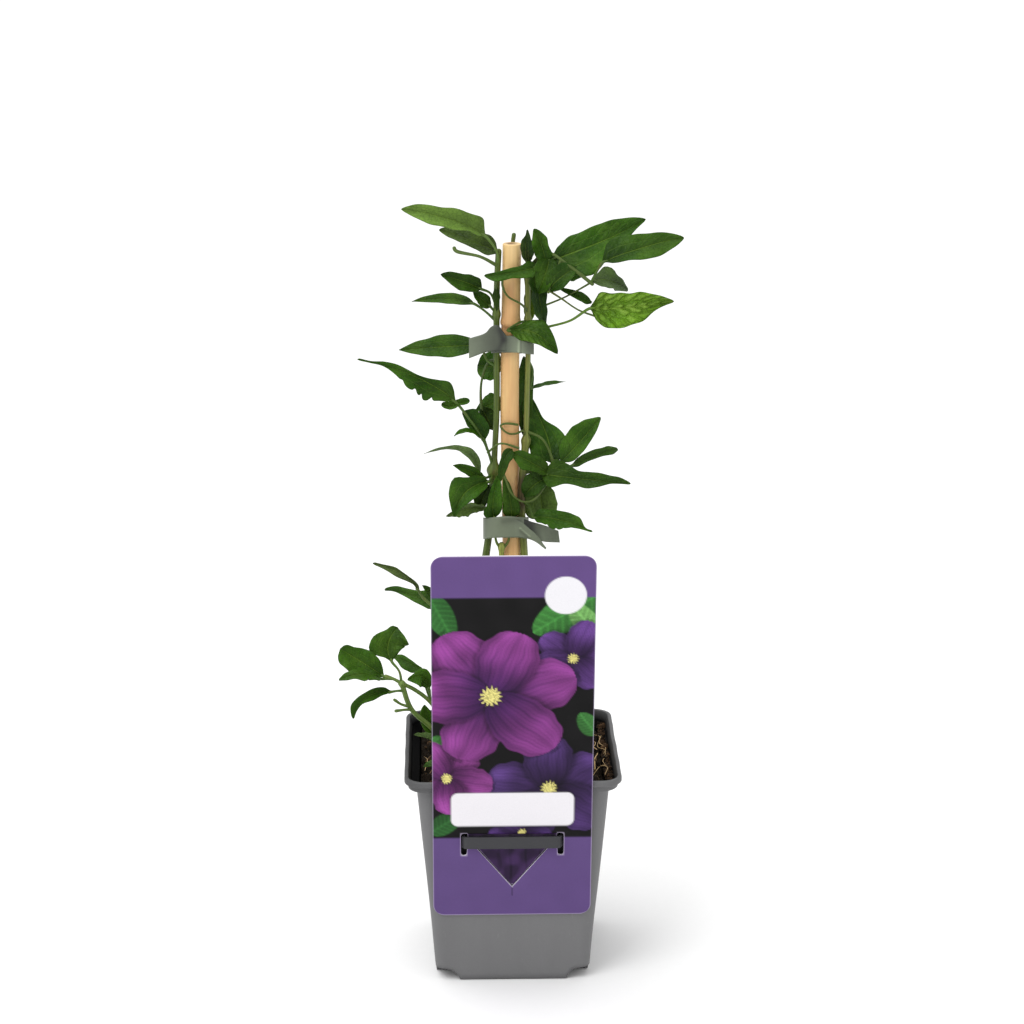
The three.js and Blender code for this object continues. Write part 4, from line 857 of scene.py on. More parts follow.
lowShoot = {
    "stems": [
        {"radius": 1.05,
         "path": [[-22, -1, 76], [-22, -1, 86], [-26, -2, 92.5], [-33.5, -4, 102.5], [-42, -8, 112.5],
                  [-46, -12, 125.5]]},
        {"radius": 0.85,
         "path": [[-22.3, -1, 87], [-27, -2, 101.5], [-34, -5, 114.5], [-40.5, -9, 121.5],
                  [-46, -12, 125.5]]},
    ],
    "knots": [{"at": [-46, -12, 125.5], "radius": 1.5}],
    "stalks": [
        {"radius": 0.75, "path": [[-46, -12, 125.5], [-49.5, -13.4, 128], [-52.5, -14, 129.3]]},
        {"radius": 0.6, "path": [[-43, -8.8, 114], [-46.5, -11, 116], [-49, -13, 118.5]]},
        {"radius": 0.6, "path": [[-42, -8.2, 112.6], [-45.5, -11.4, 113.5], [-48.5, -14, 114]]},
    ],
    "leaves": [
        {"tone": "mid", "stalk": [[-46, -12, 125.5], [-47, -12.4, 131]],
         "rib": [[-50, -12, 135], [-51.5, -9, 141.5], [-47.5, -7, 148.5]],
         "left": [0.5, 2, 7.5, 7.5, 5.5, 3, 0.5], "right": [1, 4.5, 6, 7, 7.5, 8.5, 0.5]},
        {"tone": "mid", "stalk": [[-49.5, -13.4, 128]],
         "rib": [[-53, -14, 129], [-62.5, -12, 135], [-71.5, -11, 140.5]],
         "left": [0.5, 3.5, 5, 6.5, 6, 0.5], "right": [0.5, 4, 5.5, 5, 3.5, 0.5]},
        {"tone": "mid", "stalk": [[-49.5, -13.4, 128]],
         "rib": [[-54, -15, 128.5], [-63, -22, 133], [-71.5, -28, 132.5]],
         "left": [0.5, 4.5, 4.5, 7.5, 3.5, 0.5], "right": [1.5, 0.5, 1.5, 3, 2, 0.5], "face": skyward},
        {"tone": "mid", "stalk": [[-45.4, -11.4, 122], [-48, -13, 122.5]],
         "rib": [[-50, -14, 122.5], [-60.5, -21, 122.5], [-66, -26, 115]],
         "left": [0.5, 1.5, 2.5, 2.5, 1, 0.5, 0.5], "right": [0.5, 2, 2, 2, 2.5, 2.5, 0.5]},
        {"tone": "mid", "stalk": [[-33, -4.4, 112.5], [-36, -3.6, 121]],
         "rib": [[-37, -2, 127.5], [-43.5, 3, 129.5], [-49.5, 8, 130.5]],
         "left": [0.5, 3, 3.5, 3, 1.5, 0.5], "right": [1, 1, 1.5, 2, 2, 0.5]},
        {"tone": "mid", "stalk": [[-34, -5, 114.5]],
         "rib": [[-34.5, -6, 120.5], [-37.5, -8, 127], [-43.5, -11, 126.5]],
         "left": [0.5, 3.5, 4.5, 5, 0.5], "right": [0.5, 2.5, 3.5, 1.5, 0.5]},
        {"tone": "mid", "stalk": [[-29, -2.6, 96.5]],
         "rib": [[-32, -3.4, 99.5], [-35.5, -2.4, 106], [-36.5, -1, 112]], "width": 6.4,
         "shape": ovate},
        {"tone": "dusk", "stalk": [[-25, -1.8, 91]],
         "rib": [[-29, -8, 98], [-36, -12, 101.5], [-41, -16, 104]], "width": 5, "face": skyward},
        {"tone": "deep", "stalk": [[-22.4, -1, 88]],
         "rib": [[-26, -14, 91], [-32, -24, 94], [-37, -30, 95]], "width": 5.4, "face": skyward},
    ],
}


def growStem(name, node, plant, stemTone, stalkTone, seed, dark=None):
    # two pieces that stand for one CAD node: the blades, and the stems with their stalks
    leaves, wood = newHeap(), newHeap()
    for stem in plant["stems"]:
        stemTube(wood, stem["path"], stem["radius"], stemTone, plant["knots"], dark)
    for stalk in plant["stalks"]:
        stalkTube(wood, stalk["path"], stalk["radius"], stalkTone)
    for number, leaf in enumerate(plant["leaves"]):
        leafSurface(leaves, seed=seed + number, **{key: leaf[key] for key in leaf if key != "stalk"})
        if "stalk" in leaf:
            base, middle = np.asarray(leaf["rib"][0], float), np.asarray(leaf["rib"][1], float)
            path = [*leaf["stalk"], base, base + (middle - base) * 0.12]
            stalkTube(wood, path, 0.55, 0.5 * np.asarray(stalkTone) + 0.5 * tones[leaf["tone"]])
    makePiece(name + "Leaves", leaves, [leafGreen], node)
    makePiece(name + "Stems", wood, [stemGreen], node)


leafGreen = leafMaterial()
stemGreen = stemMaterial()
growStem("left", "stem_left", leftClimber, linear(78, 95, 37), linear(84, 104, 48), 100)
growStem("middle", "stem_middle", middleClimber, linear(140, 148, 70), linear(120, 132, 62), 200)
growStem("right", "stem_right", rightClimber, linear(108, 117, 54), linear(74, 92, 36), 300, (196, 215))
growStem("low", "shoot_low", lowShoot, linear(98, 122, 58), linear(98, 122, 58), 400)
print("leafy stems grown")


# bamboo cane

cane = {
    "radius": 3.84,
    "path": [[0.3, 0, 9], [0.5, 0, 110], [0.3, 0, 182], [-0.5, 0, 244], [-0.1, 0, 276], [0.5, 0, 308.7]],
    "knot": {"height": 276.6, "swell": 0.42, "reach": 1.5, "groove": 0.22},
    "pith": 0.3,  # share of the radius that is pith at the cut end
    "straw": linear(208, 173, 115),
    "pink": linear(194, 142, 92),
    "pale": linear(222, 193, 140),
}


def caneMaterial():
    # straw-coloured skin with lengthwise fibres, pinkish mottles and a darker ring at the knot
    made, tree, shader = newMaterial("bambooSkin")
    place = objectPlace(tree)
    tint = attribute(tree, "tint", "Color")
    fibre = noise(tree, place, 900, 4, 0.6, stretch=(1, 1, 0.035))
    broad = noise(tree, place, 60, 3, 0.5, stretch=(1, 1, 0.35))
    spots = noise(tree, place, 240, 4, 0.65, stretch=(1, 1, 0.5))
    body = blendColour(tree, band(tree, broad, 0.42, 0.68), tint, cane["pink"])
    body = blendColour(tree, band(tree, broad, 0.5, 0.3, 0, 0.6), body, cane["pale"])
    shade = scaled(tree, fibre, 0.42, 0.79)
    body = blendColour(tree, 1.0, body, shade, "MULTIPLY")
    specks = band(tree, spots, 0.62, 0.72, 0, 0.4)
    body = blendColour(tree, specks, body, linear(150, 104, 66))
    feed(tree, shader, "Base Color", body)
    feed(tree, shader, "Roughness", scaled(tree, fibre, 0.25, 0.38))
    bump(tree, shader, fibre, 0.00025, 0.5)
    return made


def buildCane():
    heap = newHeap()
    knot = cane["knot"]
    path = smoothPath(cane["path"], 420)
    radius = np.full(len(path), cane["radius"])
    away = (path[:, 2] - knot["height"]) / knot["reach"]
    radius += knot["swell"] * np.exp(-(away**2)) - knot["groove"] * np.exp(-((away + 1.1) ** 2) * 9)
    # the cut end: a small worn edge, a flat face, and a shallow hollow of pith
    radius *= 1 + 0.006 * ripples(path, 40, 11)
    top, along = path[-1], np.array([0.0, 0.0, 1.0])
    steps = [
        (0.985, 0.12), (0.93, 0.24), (0.8, 0.3), (cane["pith"] + 0.14, 0.28), (cane["pith"], -0.1),
        (0.1, -0.5),
    ]
    path = np.vstack([path, [top + along * rise for share, rise in steps]])
    radius = np.append(radius, [cane["radius"] * share for share, rise in steps])
    tint = np.repeat(cane["straw"][None], len(path), 0)
    dark = np.exp(-((path[:, 2] - knot["height"] + 1.7) ** 2) / 0.6) * (path[:, 2] < 300)
    smoky = np.exp(-(((path[:, 2] - knot["height"] + 5) / 6) ** 2)) * (path[:, 2] < 300)
    tint = tint * (1 - 0.7 * dark[:, None] - 0.22 * smoky[:, None] * (1, 1.3, 1.5))
    # painted light: the cane is painted lighter below the lower tie
    tint = tint * np.interp(path[:, 2:], [184, 200], [1.28, 1])
    tint[-5:] = linear(214, 182, 128)
    tint[-3:] = linear(120, 92, 56)
    poleTube(heap, path * mm, radius * mm, 44, tint)
    makePiece("bambooCane", heap, [caneMaterial()], "cane")


def poleTube(heap, path, radius, sides, tint):
    # upright rings about the path's points, closed by a point at each end
    angle = np.linspace(0, 2 * np.pi, sides, endpoint=False)
    flat = np.stack([np.cos(angle), np.sin(angle), 0 * angle], -1)
    ring = path[:, None] + radius[:, None, None] * flat[None]
    rows = len(path)
    quads = gridQuads(rows, sides, loopCols=True)[:, ::-1]
    points = np.vstack([ring.reshape(-1, 3), path[:1], path[-1:]])
    tint = np.repeat(tint, sides, 0)
    tint = np.vstack([tint, tint[:1], tint[-1:]])
    pour(heap, points, quads, closeEnds(rows, sides), tint, ringData(path[:, 2], angle, radius))


buildCane()
print("cane built")


# pot

pot = {
    # half-width, height and corner radius up the outside and down the inside, in mm
    "outside": [
        (32.2, 0, 5), (40, 87.2, 7), (43.4, 88.4, 8), (43.7, 90.5, 8), (45, 91, 8.5), (45, 92.9, 8.5),
        (44.7, 93.4, 8.2),
    ],
    "inside": [(43.4, 93.4, 7), (42.1, 89.3, 7), (38.8, 88, 6), (31.1, 2, 4)],
    "edge": 0.35,  # how far each edge of the profile is rounded
    "cut": [(0, 0), (22.5, 0), (23.3, 2.4), (24.9, 4.2), (27.5, 5), (60, 5)],
    "cutReach": 14.0,  # height over which the cut corners blend into the wall's rows
    "floorGap": 1.7,
    "sideSteps": 44,
    "cornerSteps": 12,
    "drainAt": 27.0,
    "drainRadius": 1.9,
    "grey": linear(106, 106, 107),
    "bar": {
        "x": -0.6, "half": 21.1, "low": 63.6, "high": 68.8, "inner": 42.15, "outer": 43.5, "bow": 0.8,
        "foot": 1.7, "corner": 0.42, "sag": 0.25,
    },
    "barGrey": linear(52, 52, 55),
}


def potMaterial():
    # satin moulded plastic: faint flow streaks, scuffs and dust; the painted shade in the tint darkens the
    # inside, and dims its reflection too
    made, tree, shader = newMaterial("potPlastic")
    place = objectPlace(tree)
    tint = attribute(tree, "tint", "Color")
    broad = noise(tree, place, 22, 4, 0.55, stretch=(1, 1, 0.5))
    streak = noise(tree, place, 160, 3, 0.6, stretch=(1, 1, 0.12))
    speck = noise(tree, place, 1400, 3, 0.6)
    shade = scaled(tree, broad, 0.16, 0.92)
    shade = product(tree, shade, scaled(tree, streak, 0.1, 0.95))
    shade = product(tree, shade, scaled(tree, speck, 0.12, 0.94))
    body = blendColour(tree, 1.0, tint, shade, "MULTIPLY")
    scuff = band(tree, noise(tree, place, 420, 4, 0.7, stretch=(1, 1, 0.3)), 0.66, 0.76, 0, 0.12)
    body = blendColour(tree, scuff, body, linear(168, 168, 168))
    feed(tree, shader, "Base Color", body)
    feed(tree, shader, "Roughness", scaled(tree, broad, 0.16, 0.4))
    share = parts(tree, attribute(tree, "data", "Vector"))[0]
    feed(tree, shader, "Specular IOR Level", product(tree, share, 0.3))
    bump(tree, shader, calc(tree, "ADD", speck, streak), 0.00006, 0.6)
    return made


def roundProfile(points, reach, steps=4):
    # a line through the points whose corners are rounded by curves that start the given reach away
    p = np.asarray(points, float)
    line = [p[0]]
    for before, here, after in zip(p[:-2], p[1:-1], p[2:]):
        toBefore, toAfter = before - here, after - here
        start = here + toBefore * min(0.45, reach / np.linalg.norm(toBefore[:2]))
        stop = here + toAfter * min(0.45, reach / np.linalg.norm(toAfter[:2]))
        u = np.linspace(0, 1, steps)[:, None]
        line.extend((1 - u) ** 2 * start + 2 * u * (1 - u) * here + u**2 * stop)
    line.append(p[-1])
    return np.array(line)


def refine(line, step):
    # more points on long straight runs of a line, none on short ones
    out = [line[0]]
    for a, b in zip(line[:-1], line[1:]):
        count = max(1, int(np.ceil(np.linalg.norm((b - a)[:2]) / step)))
        out.extend(a + (b - a) * k / count for k in range(1, count + 1))
    return np.array(out)


def squareRing(half, corner):
    # a square with round corners, anticlockwise seen from above, with the same count for every size
    n, m = pot["sideSteps"], pot["cornerSteps"]
    flat = half - corner
    run = np.linspace(-flat, flat, n, endpoint=False)
    turn = np.linspace(0, np.pi / 2, m, endpoint=False)
    side = np.stack([np.full(n, half), run], -1)
    arc = np.stack([flat + corner * np.cos(turn), flat + corner * np.sin(turn)], -1)
    x, y = np.vstack([side, arc]).T
    rings = []
    for c, s in [(1, 0), (0, 1), (-1, 0), (0, -1)]:
        rings.append(np.stack([x * c - y * s, x * s + y * c], -1))
    return np.vstack(rings)


def cutHeight(ring):
    away = np.minimum(np.abs(ring[:, 0]), np.abs(ring[:, 1]))
    spots, heights = np.array(pot["cut"], float).T
    return np.interp(away, spots, heights)


def wallRing(half, z, corner, slope=0.0):
    # a ring of the wall; near the base it rises over the cut corners and keeps to the wall's taper
    ring = squareRing(half, corner)
    lift = cutHeight(ring) * np.clip(1 - z / pot["cutReach"], 0, 1)
    grown = ring * (1 + slope * lift / half)[:, None]
    return np.column_stack([grown, z + lift])


def potRows():
    # the closed skin: from the middle of the underside out, up the outside, over the lip, down the inside
    baseHalf, baseFoot, baseCorner = pot["outside"][0]
    wallHalf, wallTop = pot["outside"][1][:2]
    slope = (wallHalf - baseHalf) / (wallTop - baseFoot)
    insideHalf, insideFloor, insideCorner = pot["inside"][-1]
    shares = np.linspace(0.02, 1, 44, endpoint=False)
    rows, shadeRows = [], []
    for share in shares:
        ring = squareRing(baseHalf * share, baseCorner * share)
        lift = cutHeight(ring)
        for x, y in [(1, 1), (1, -1), (-1, 1), (-1, -1)]:
            away = np.hypot(ring[:, 0] - x * pot["drainAt"], ring[:, 1] - y * pot["drainAt"])
            lift = lift + 1.3 * np.clip((pot["drainRadius"] - away) / 0.5, 0, 1)
        rows.append(np.column_stack([ring, lift]))
        # painted shade: the underside is darker
        shadeRows.append(np.full(len(ring), 0.8))
    outer = refine(roundProfile(pot["outside"], pot["edge"]), 3.0)
    for half, z, corner in outer:
        rows.append(wallRing(half, z, corner, slope if z < 20 else 0))
        # painted shade: the lip is painted darker than the wall
        shadeRows.append(np.full(len(ring), 0.78 if z > 88 else 1.0))
    inner = refine(roundProfile([pot["outside"][-1], *pot["inside"]], pot["edge"] * 0.8), 4.0)
    for half, z, corner in inner[1:]:
        row = wallRing(half, z, corner)
        if z < 20:
            row[:, 2] += pot["floorGap"] * 0.5 * np.clip(cutHeight(row) / 5, 0, 1)
        rows.append(row)
        # painted shade: the inside wall is painted near black, and the rim's top darker
        shadeRows.append(np.full(len(row), np.interp(z, [88, 92.8, 93.35], [0.02, 0.03, 0.6])))
    for share in shares[::-2]:
        ring = squareRing(insideHalf * share, insideCorner * share)
        rows.append(np.column_stack([ring, insideFloor + cutHeight(ring)]))
        # painted shade: the inside floor is darker
        shadeRows.append(np.full(len(ring), 0.3))
    return np.array(rows), np.array(shadeRows)


def barBody(heap):
    # the bar: a rounded block section carried along a bent path whose ends run back into the wall
    bar = pot["bar"]
    middle = (bar["inner"] + bar["outer"]) / 2
    left, right = bar["x"] - bar["half"] + bar["foot"] / 2, bar["x"] + bar["half"] - bar["foot"] / 2
    run = np.linspace(0, 1, 41)
    bowed = -middle - bar["bow"] * 4 * run * (1 - run)
    front = np.stack([left + (right - left) * run, bowed, 0 * run], -1)
    back = lambda x: np.array([[x, -36.6, 0], [x, -38.6, 0], [x, -middle + 1.3, 0]])
    path = np.vstack([back(left), front[1:-1], back(right)[::-1]])
    path = path[np.append(True, np.linalg.norm(np.diff(path, axis=0), axis=1) > 0.05)]
    along = np.gradient(path, axis=0)
    along /= np.linalg.norm(along, axis=1, keepdims=True)
    out = np.cross(along, (0, 0, 1))
    depth, tall = (bar["outer"] - bar["inner"]) / 2, (bar["high"] - bar["low"]) / 2
    corner = bar["corner"]
    angles = np.linspace(0, 2 * np.pi, 24, endpoint=False)
    sectionOut = np.sign(np.cos(angles)) * (depth - corner) + corner * np.cos(angles)
    sectionUp = np.sign(np.sin(angles)) * (tall - corner) + corner * np.sin(angles)
    height = (bar["high"] + bar["low"]) / 2
    sag = bar["sag"] * np.cos(np.linspace(-np.pi / 2, np.pi / 2, len(path)))
    ring = path[:, None] + out[:, None] * sectionOut[None, :, None]
    ring[..., 2] += height + sectionUp[None] + sag[:, None]
    rows, sides = ring.shape[:2]
    ends = [ring[0].mean(0), ring[-1].mean(0)]
    points = np.vstack([ring.reshape(-1, 3), *ends])
    # painted shade: the bar is painted darker where it runs back towards the wall behind the label
    share = np.interp(-points[:, 1:2], [41.3, 42.5], [0.15, 1])
    quads, tris = gridQuads(rows, sides, loopCols=True), closeEnds(rows, sides)[:, ::-1]
    pour(heap, points * mm, quads, tris, pot["barGrey"] * share, share * (1, 0, 0))


def buildPot():
    heap = newHeap()
    rows, shade = potRows()
    count, sides = rows.shape[:2]
    quads = gridQuads(count, sides, loopCols=True)[:, ::-1]
    points = np.vstack([rows.reshape(-1, 3), [[0, 0, 0]], [[0, 0, 2]]])
    # a moulded wall is never quite flat
    waver = 0.12 * ripples(points * (1, 1, 0.5), 38, 21) * np.clip((points[:, 2] - 6) / 20, 0, 1)
    outward = points[:, :2] / np.maximum(np.abs(points[:, :2]).max(1, keepdims=True), 1)
    points[:, :2] -= outward * np.abs(waver)[:, None]
    share = np.append(shade.ravel(), [0.8, 0.3])
    # painted shade: the left of the pot is painted darker, its lip most, and the wall behind the label's
    # opening is painted dark as shadow
    x, y, z = points.T
    leftShade = np.interp(x, [-45, -36, 0], [0.62, 0.85, 1])
    share = share * np.where(z > 88, leftShade, np.interp(x, [-40, -20], [0.88, 1]))
    slotShadow = np.clip((24 - np.abs(x + 0.6)) / 2, 0, 1) * np.clip((14 - np.abs(z - 60)) / 3, 0, 1) * (y < -30)
    share = (share * (1 - 0.85 * slotShadow * (z < 80)))[:, None]
    pour(heap, points * mm, quads, closeEnds(count, sides), pot["grey"] * share, share * (1, 0, 0))
    barBody(heap)
    makePiece("potShell", heap, [potMaterial()], "pot")


buildPot()
print("pot built")


# peat

peat = {
    "level": 86.0,
    "slope": 0.05,
    "half": 38.55,
    "corner": 6.0,
    "gap": 0.35,
    "cells": 150,
    "lumps": ((1.1, 9.0), (0.7, 3.6), (0.35, 1.7)),
    "crumbs": 900,
    "ledge": {"crumbs": 700, "inner": 38.6, "outer": 41.4, "back": 40.2, "height": 88.7},
    "spread": 36.5,
    "foot": {"share": 0.8, "height": 8.0},
    "fibres": 110,
    "dark": linear(28, 20, 12),
    "warm": linear(84, 60, 37),
}


def peatMaterial():
    # very dark, matt, with warmer crumbs and pale fibre ends
    made, tree, shader = newMaterial("peatSoil")
    place = objectPlace(tree)
    tint = attribute(tree, "tint", "Color")
    grain = noise(tree, place, 700, 5, 0.7)
    clumps = noise(tree, place, 170, 4, 0.6)
    shade = product(tree, scaled(tree, grain, 1.3, 0.3), scaled(tree, clumps, 1.1, 0.4))
    body = blendColour(tree, 1.0, tint, shade, "MULTIPLY")
    flecks = band(tree, noise(tree, place, 950, 4, 0.7, stretch=(1, 0.3, 1)), 0.66, 0.74, 0, 0.45)
    feed(tree, shader, "Base Color", blendColour(tree, flecks, body, linear(120, 86, 52)))
    feed(tree, shader, "Roughness", 0.95)
    feed(tree, shader, "Specular IOR Level", 0.2)
    bump(tree, shader, grain, 0.0008, 0.9)
    return made


def peatHeight(x, y):
    spots = np.stack([x, y], -1)
    height = peat["level"] + peat["slope"] * y
    for number, (tall, size) in enumerate(peat["lumps"]):
        height = height + tall * ripples(spots, size, 31 + number, 14)
    return height


def buildPeat():
    # a grid mapped onto the pot's rounded square: rough top, plain sides and foot
    heap = newHeap()
    n = peat["cells"]
    u = np.linspace(-1, 1, n)
    gridX, gridY = np.meshgrid(u, u, indexing="ij")
    half = peat["half"] - peat["gap"]
    x, y = roundCorners(gridX * half, gridY * half, half, half, peat["corner"])
    top = np.stack([x, y, peatHeight(x, y)], -1)
    foot = peat["foot"]
    low = np.stack([x * foot["share"], y * foot["share"], np.full_like(x, foot["height"])], -1)
    slab(heap, top * mm, low * mm, tint=peat["dark"])
    makePiece("peatFill", heap, [peatSoil], "soil")

    # crumbs: small rough lumps of 20 faces
    draw = np.random.default_rng(41)
    count = peat["crumbs"]
    golden = (1 + 5**0.5) / 2
    shape = np.array(
        [(-1, golden, 0), (1, golden, 0), (-1, -golden, 0), (1, -golden, 0),
         (0, -1, golden), (0, 1, golden), (0, -1, -golden), (0, 1, -golden),
         (golden, 0, -1), (golden, 0, 1), (-golden, 0, -1), (-golden, 0, 1)],
        float,
    ) / np.hypot(1, golden)
    faces = np.array(
        [(0, 11, 5), (0, 5, 1), (0, 1, 7), (0, 7, 10), (0, 10, 11), (1, 5, 9), (5, 11, 4),
         (11, 10, 2), (10, 7, 6), (7, 1, 8), (3, 9, 4), (3, 4, 2), (3, 2, 6), (3, 6, 8),
         (3, 8, 9), (4, 9, 5), (2, 4, 11), (6, 2, 10), (8, 6, 7), (9, 8, 1)]
    )
    spread, shelf = peat["spread"], peat["ledge"]
    centre = draw.uniform(-spread, spread, (count, 2))
    # some crumbs lie against the wall, on the ledge round the peat
    ledge = draw.uniform(-38, 38, (shelf["crumbs"], 2))
    beside = draw.uniform(0, 1, len(ledge)) < 0.7
    ledge[:, 0] = np.where(beside, draw.uniform(shelf["inner"], shelf["outer"], len(ledge)), ledge[:, 0])
    far = np.abs(ledge[:, 0]) < shelf["inner"]
    ledge[far, 1] = draw.uniform(shelf["inner"], shelf["back"], far.sum())
    centre = np.vstack([centre, ledge])
    count = len(centre)
    size = draw.gamma(2.2, 0.32, count).clip(0.25, 2.2)
    stretch = draw.uniform(0.6, 1.3, (count, 1, 3))
    rough = draw.uniform(0.75, 1.25, (count, 12, 1))
    bodies = shape[None] * rough * stretch
    lift = peatHeight(centre[:, 0], centre[:, 1]) + size * 0.3
    onLedge = np.abs(centre).max(1) >= shelf["inner"]
    size = np.where(onLedge, size * 0.6, size)
    lift = np.where(onLedge, shelf["height"] + size * 0.4, lift)
    bodies = bodies * size[:, None, None] + np.column_stack([centre, lift])[:, None]
    every = faces[None] + 12 * np.arange(count)[:, None, None]
    warm = draw.uniform(0, 1, (count, 1, 1)) ** 2
    colour = peat["dark"] * (1 - warm) + peat["warm"] * warm
    colour = np.broadcast_to(colour, (count, 12, 3)).reshape(-1, 3)
    crumbs = newHeap()
    pour(crumbs, bodies * mm, np.zeros((0, 4), int), every, colour)
    makePiece("peatCrumbs", crumbs, [peatSoil], "soil", smooth=False)

    # fibres and pale roots lying on the peat
    roots = newHeap()
    for _ in range(peat["fibres"]):
        start = draw.uniform(-35, 35, 2)
        heading = draw.uniform(0, 2 * np.pi)
        turn = draw.normal(0, 0.5, 5)
        line = [start]
        for bend in turn:
            heading += bend
            line.append(line[-1] + draw.uniform(0.8, 2.4) * np.array([np.cos(heading), np.sin(heading)]))
        line = np.clip(np.array(line), -spread, spread)
        rise = draw.uniform(0.2, 1.6, len(line))
        path = np.column_stack([line, peatHeight(line[:, 0], line[:, 1]) + rise])
        fine = smoothPath(path, 14)
        tone = linear(176, 140, 92) * draw.uniform(0.15, 0.9)
        tube(roots, fine * mm, draw.uniform(0.08, 0.2) * mm, 5, tint=tone)
    for path, radius in peatRoots:
        fine = smoothPath(path, 30)
        tube(roots, fine * mm, radius * 0.75 * mm, 8, tint=linear(180, 152, 108))
    makePiece("peatFibres", roots, [rootFibre], "soil")


def rootMaterial():
    # pale dry fibre with darker stretches
    made, tree, shader = newMaterial("rootFibre")
    tint = attribute(tree, "tint", "Color")
    place = objectPlace(tree)
    shade = scaled(tree, noise(tree, place, 500, 3), 1.0, 0.5)
    feed(tree, shader, "Base Color", blendColour(tree, 1.0, tint, shade, "MULTIPLY"))
    feed(tree, shader, "Roughness", 0.8)
    return made


# pale roots at the right of the pot: path and radius
peatRoots = [
    ([[37.4, 10, 85.5], [37, 3, 87.5], [35.6, -4, 88.2], [35.2, -12, 86.4]], 0.32),
    ([[33, 18, 86.6], [34.5, 12, 88.2], [37, 6, 88.6]], 0.22),
    ([[31.5, -2, 86.5], [34, 4, 88.4], [36.8, 14, 88.4], [36, 22, 87]], 0.2),
    ([[39.5, 20, 89.6], [38.4, 12, 89.4], [40.6, 4, 90], [39, -3, 89.2]], 0.16),
    ([[36, 26, 88], [38.8, 18, 90], [37.4, 8, 89.2], [40.2, 0, 90.4], [39.2, -8, 89.4]], 0.13),
    ([[40.8, -4, 89.6], [38.6, -10, 89.6], [39.8, -18, 89.8]], 0.15),
    ([[34, -18, 86], [37.4, -14, 88.6], [40, -20, 90.2], [38.6, -26, 89.4]], 0.18),
    ([[-37, 6, 86], [-35.6, -2, 87.6], [-36.6, -12, 86.6]], 0.22),
]
peatSoil = peatMaterial()
rootFibre = rootMaterial()
buildPeat()
print("peat built")


# picture label

label = {
    "x": -0.5,
    "footY": -35.6,
    "footZ": 31.1,
    "lean": np.radians(9.47),
    "width": 65.8,
    "height": 167.0,
    "corner": 5.0,
    "thick": 0.6,
    "step": 0.5,
    "slot": {"half": 21.3, "top": 39.7, "shoulder": 32.6, "foot": 29.0, "inner": 18.8},
    "vee": {"half": 15.0, "tip": 13.6},
    "kerf": 0.35,
    "back": 0.75,
    "picture": (37.6, 148.6),
    "header": linear(92, 69, 122),
    "footer": linear(89, 68, 118),
    "ground": linear(8, 7, 8),
    "bar": {"u": 0.0, "half": 25.3, "low": 43.2, "high": 59.0, "corner": 3.0, "tone": (0.74, 0.72, 0.75)},
    "disc": {"u": 20.8, "w": 149.5, "radius": 8.3, "tone": (0.74, 0.73, 0.76)},
}

# blooms of the printed design: centre, reach, petals, turn, base, margin and rib colours
blooms = [
    ((15, 61), 25, 5, 0.5, (30, 16, 44), (62, 40, 88), (22, 10, 34)),
    ((24, 121), 17, 6, 0.2, (44, 22, 62), (78, 48, 106), (30, 14, 46)),
    ((-27, 66), 18, 5, 1.0, (70, 26, 72), (120, 54, 118), (46, 14, 54)),
    ((-9, 104), 33, 6, 0.12, (56, 24, 74), (114, 50, 114), (40, 14, 56)),
    ((4, 40), 14, 5, 0.9, (36, 18, 54), (66, 42, 96), (24, 12, 40)),
]
# leaves of the printed design: foot, tip, width and colour
printedLeaves = [
    ((34, 150), (8, 133), 17, (64, 132, 58)),
    ((36, 128), (22, 147), 11, (118, 176, 96)),
    ((-34, 150), (-24, 130), 12, (52, 112, 50)),
    ((-34, 84), (-18, 78), 9, (70, 136, 62)),
    ((-34, 40), (-20, 50), 10, (44, 96, 44)),
    ((34, 86), (27, 96), 9, (60, 120, 56)),
]


def smooth(value, low, high):
    share = np.clip((value - low) / (high - low), 0, 1)
    return share * share * (3 - 2 * share)


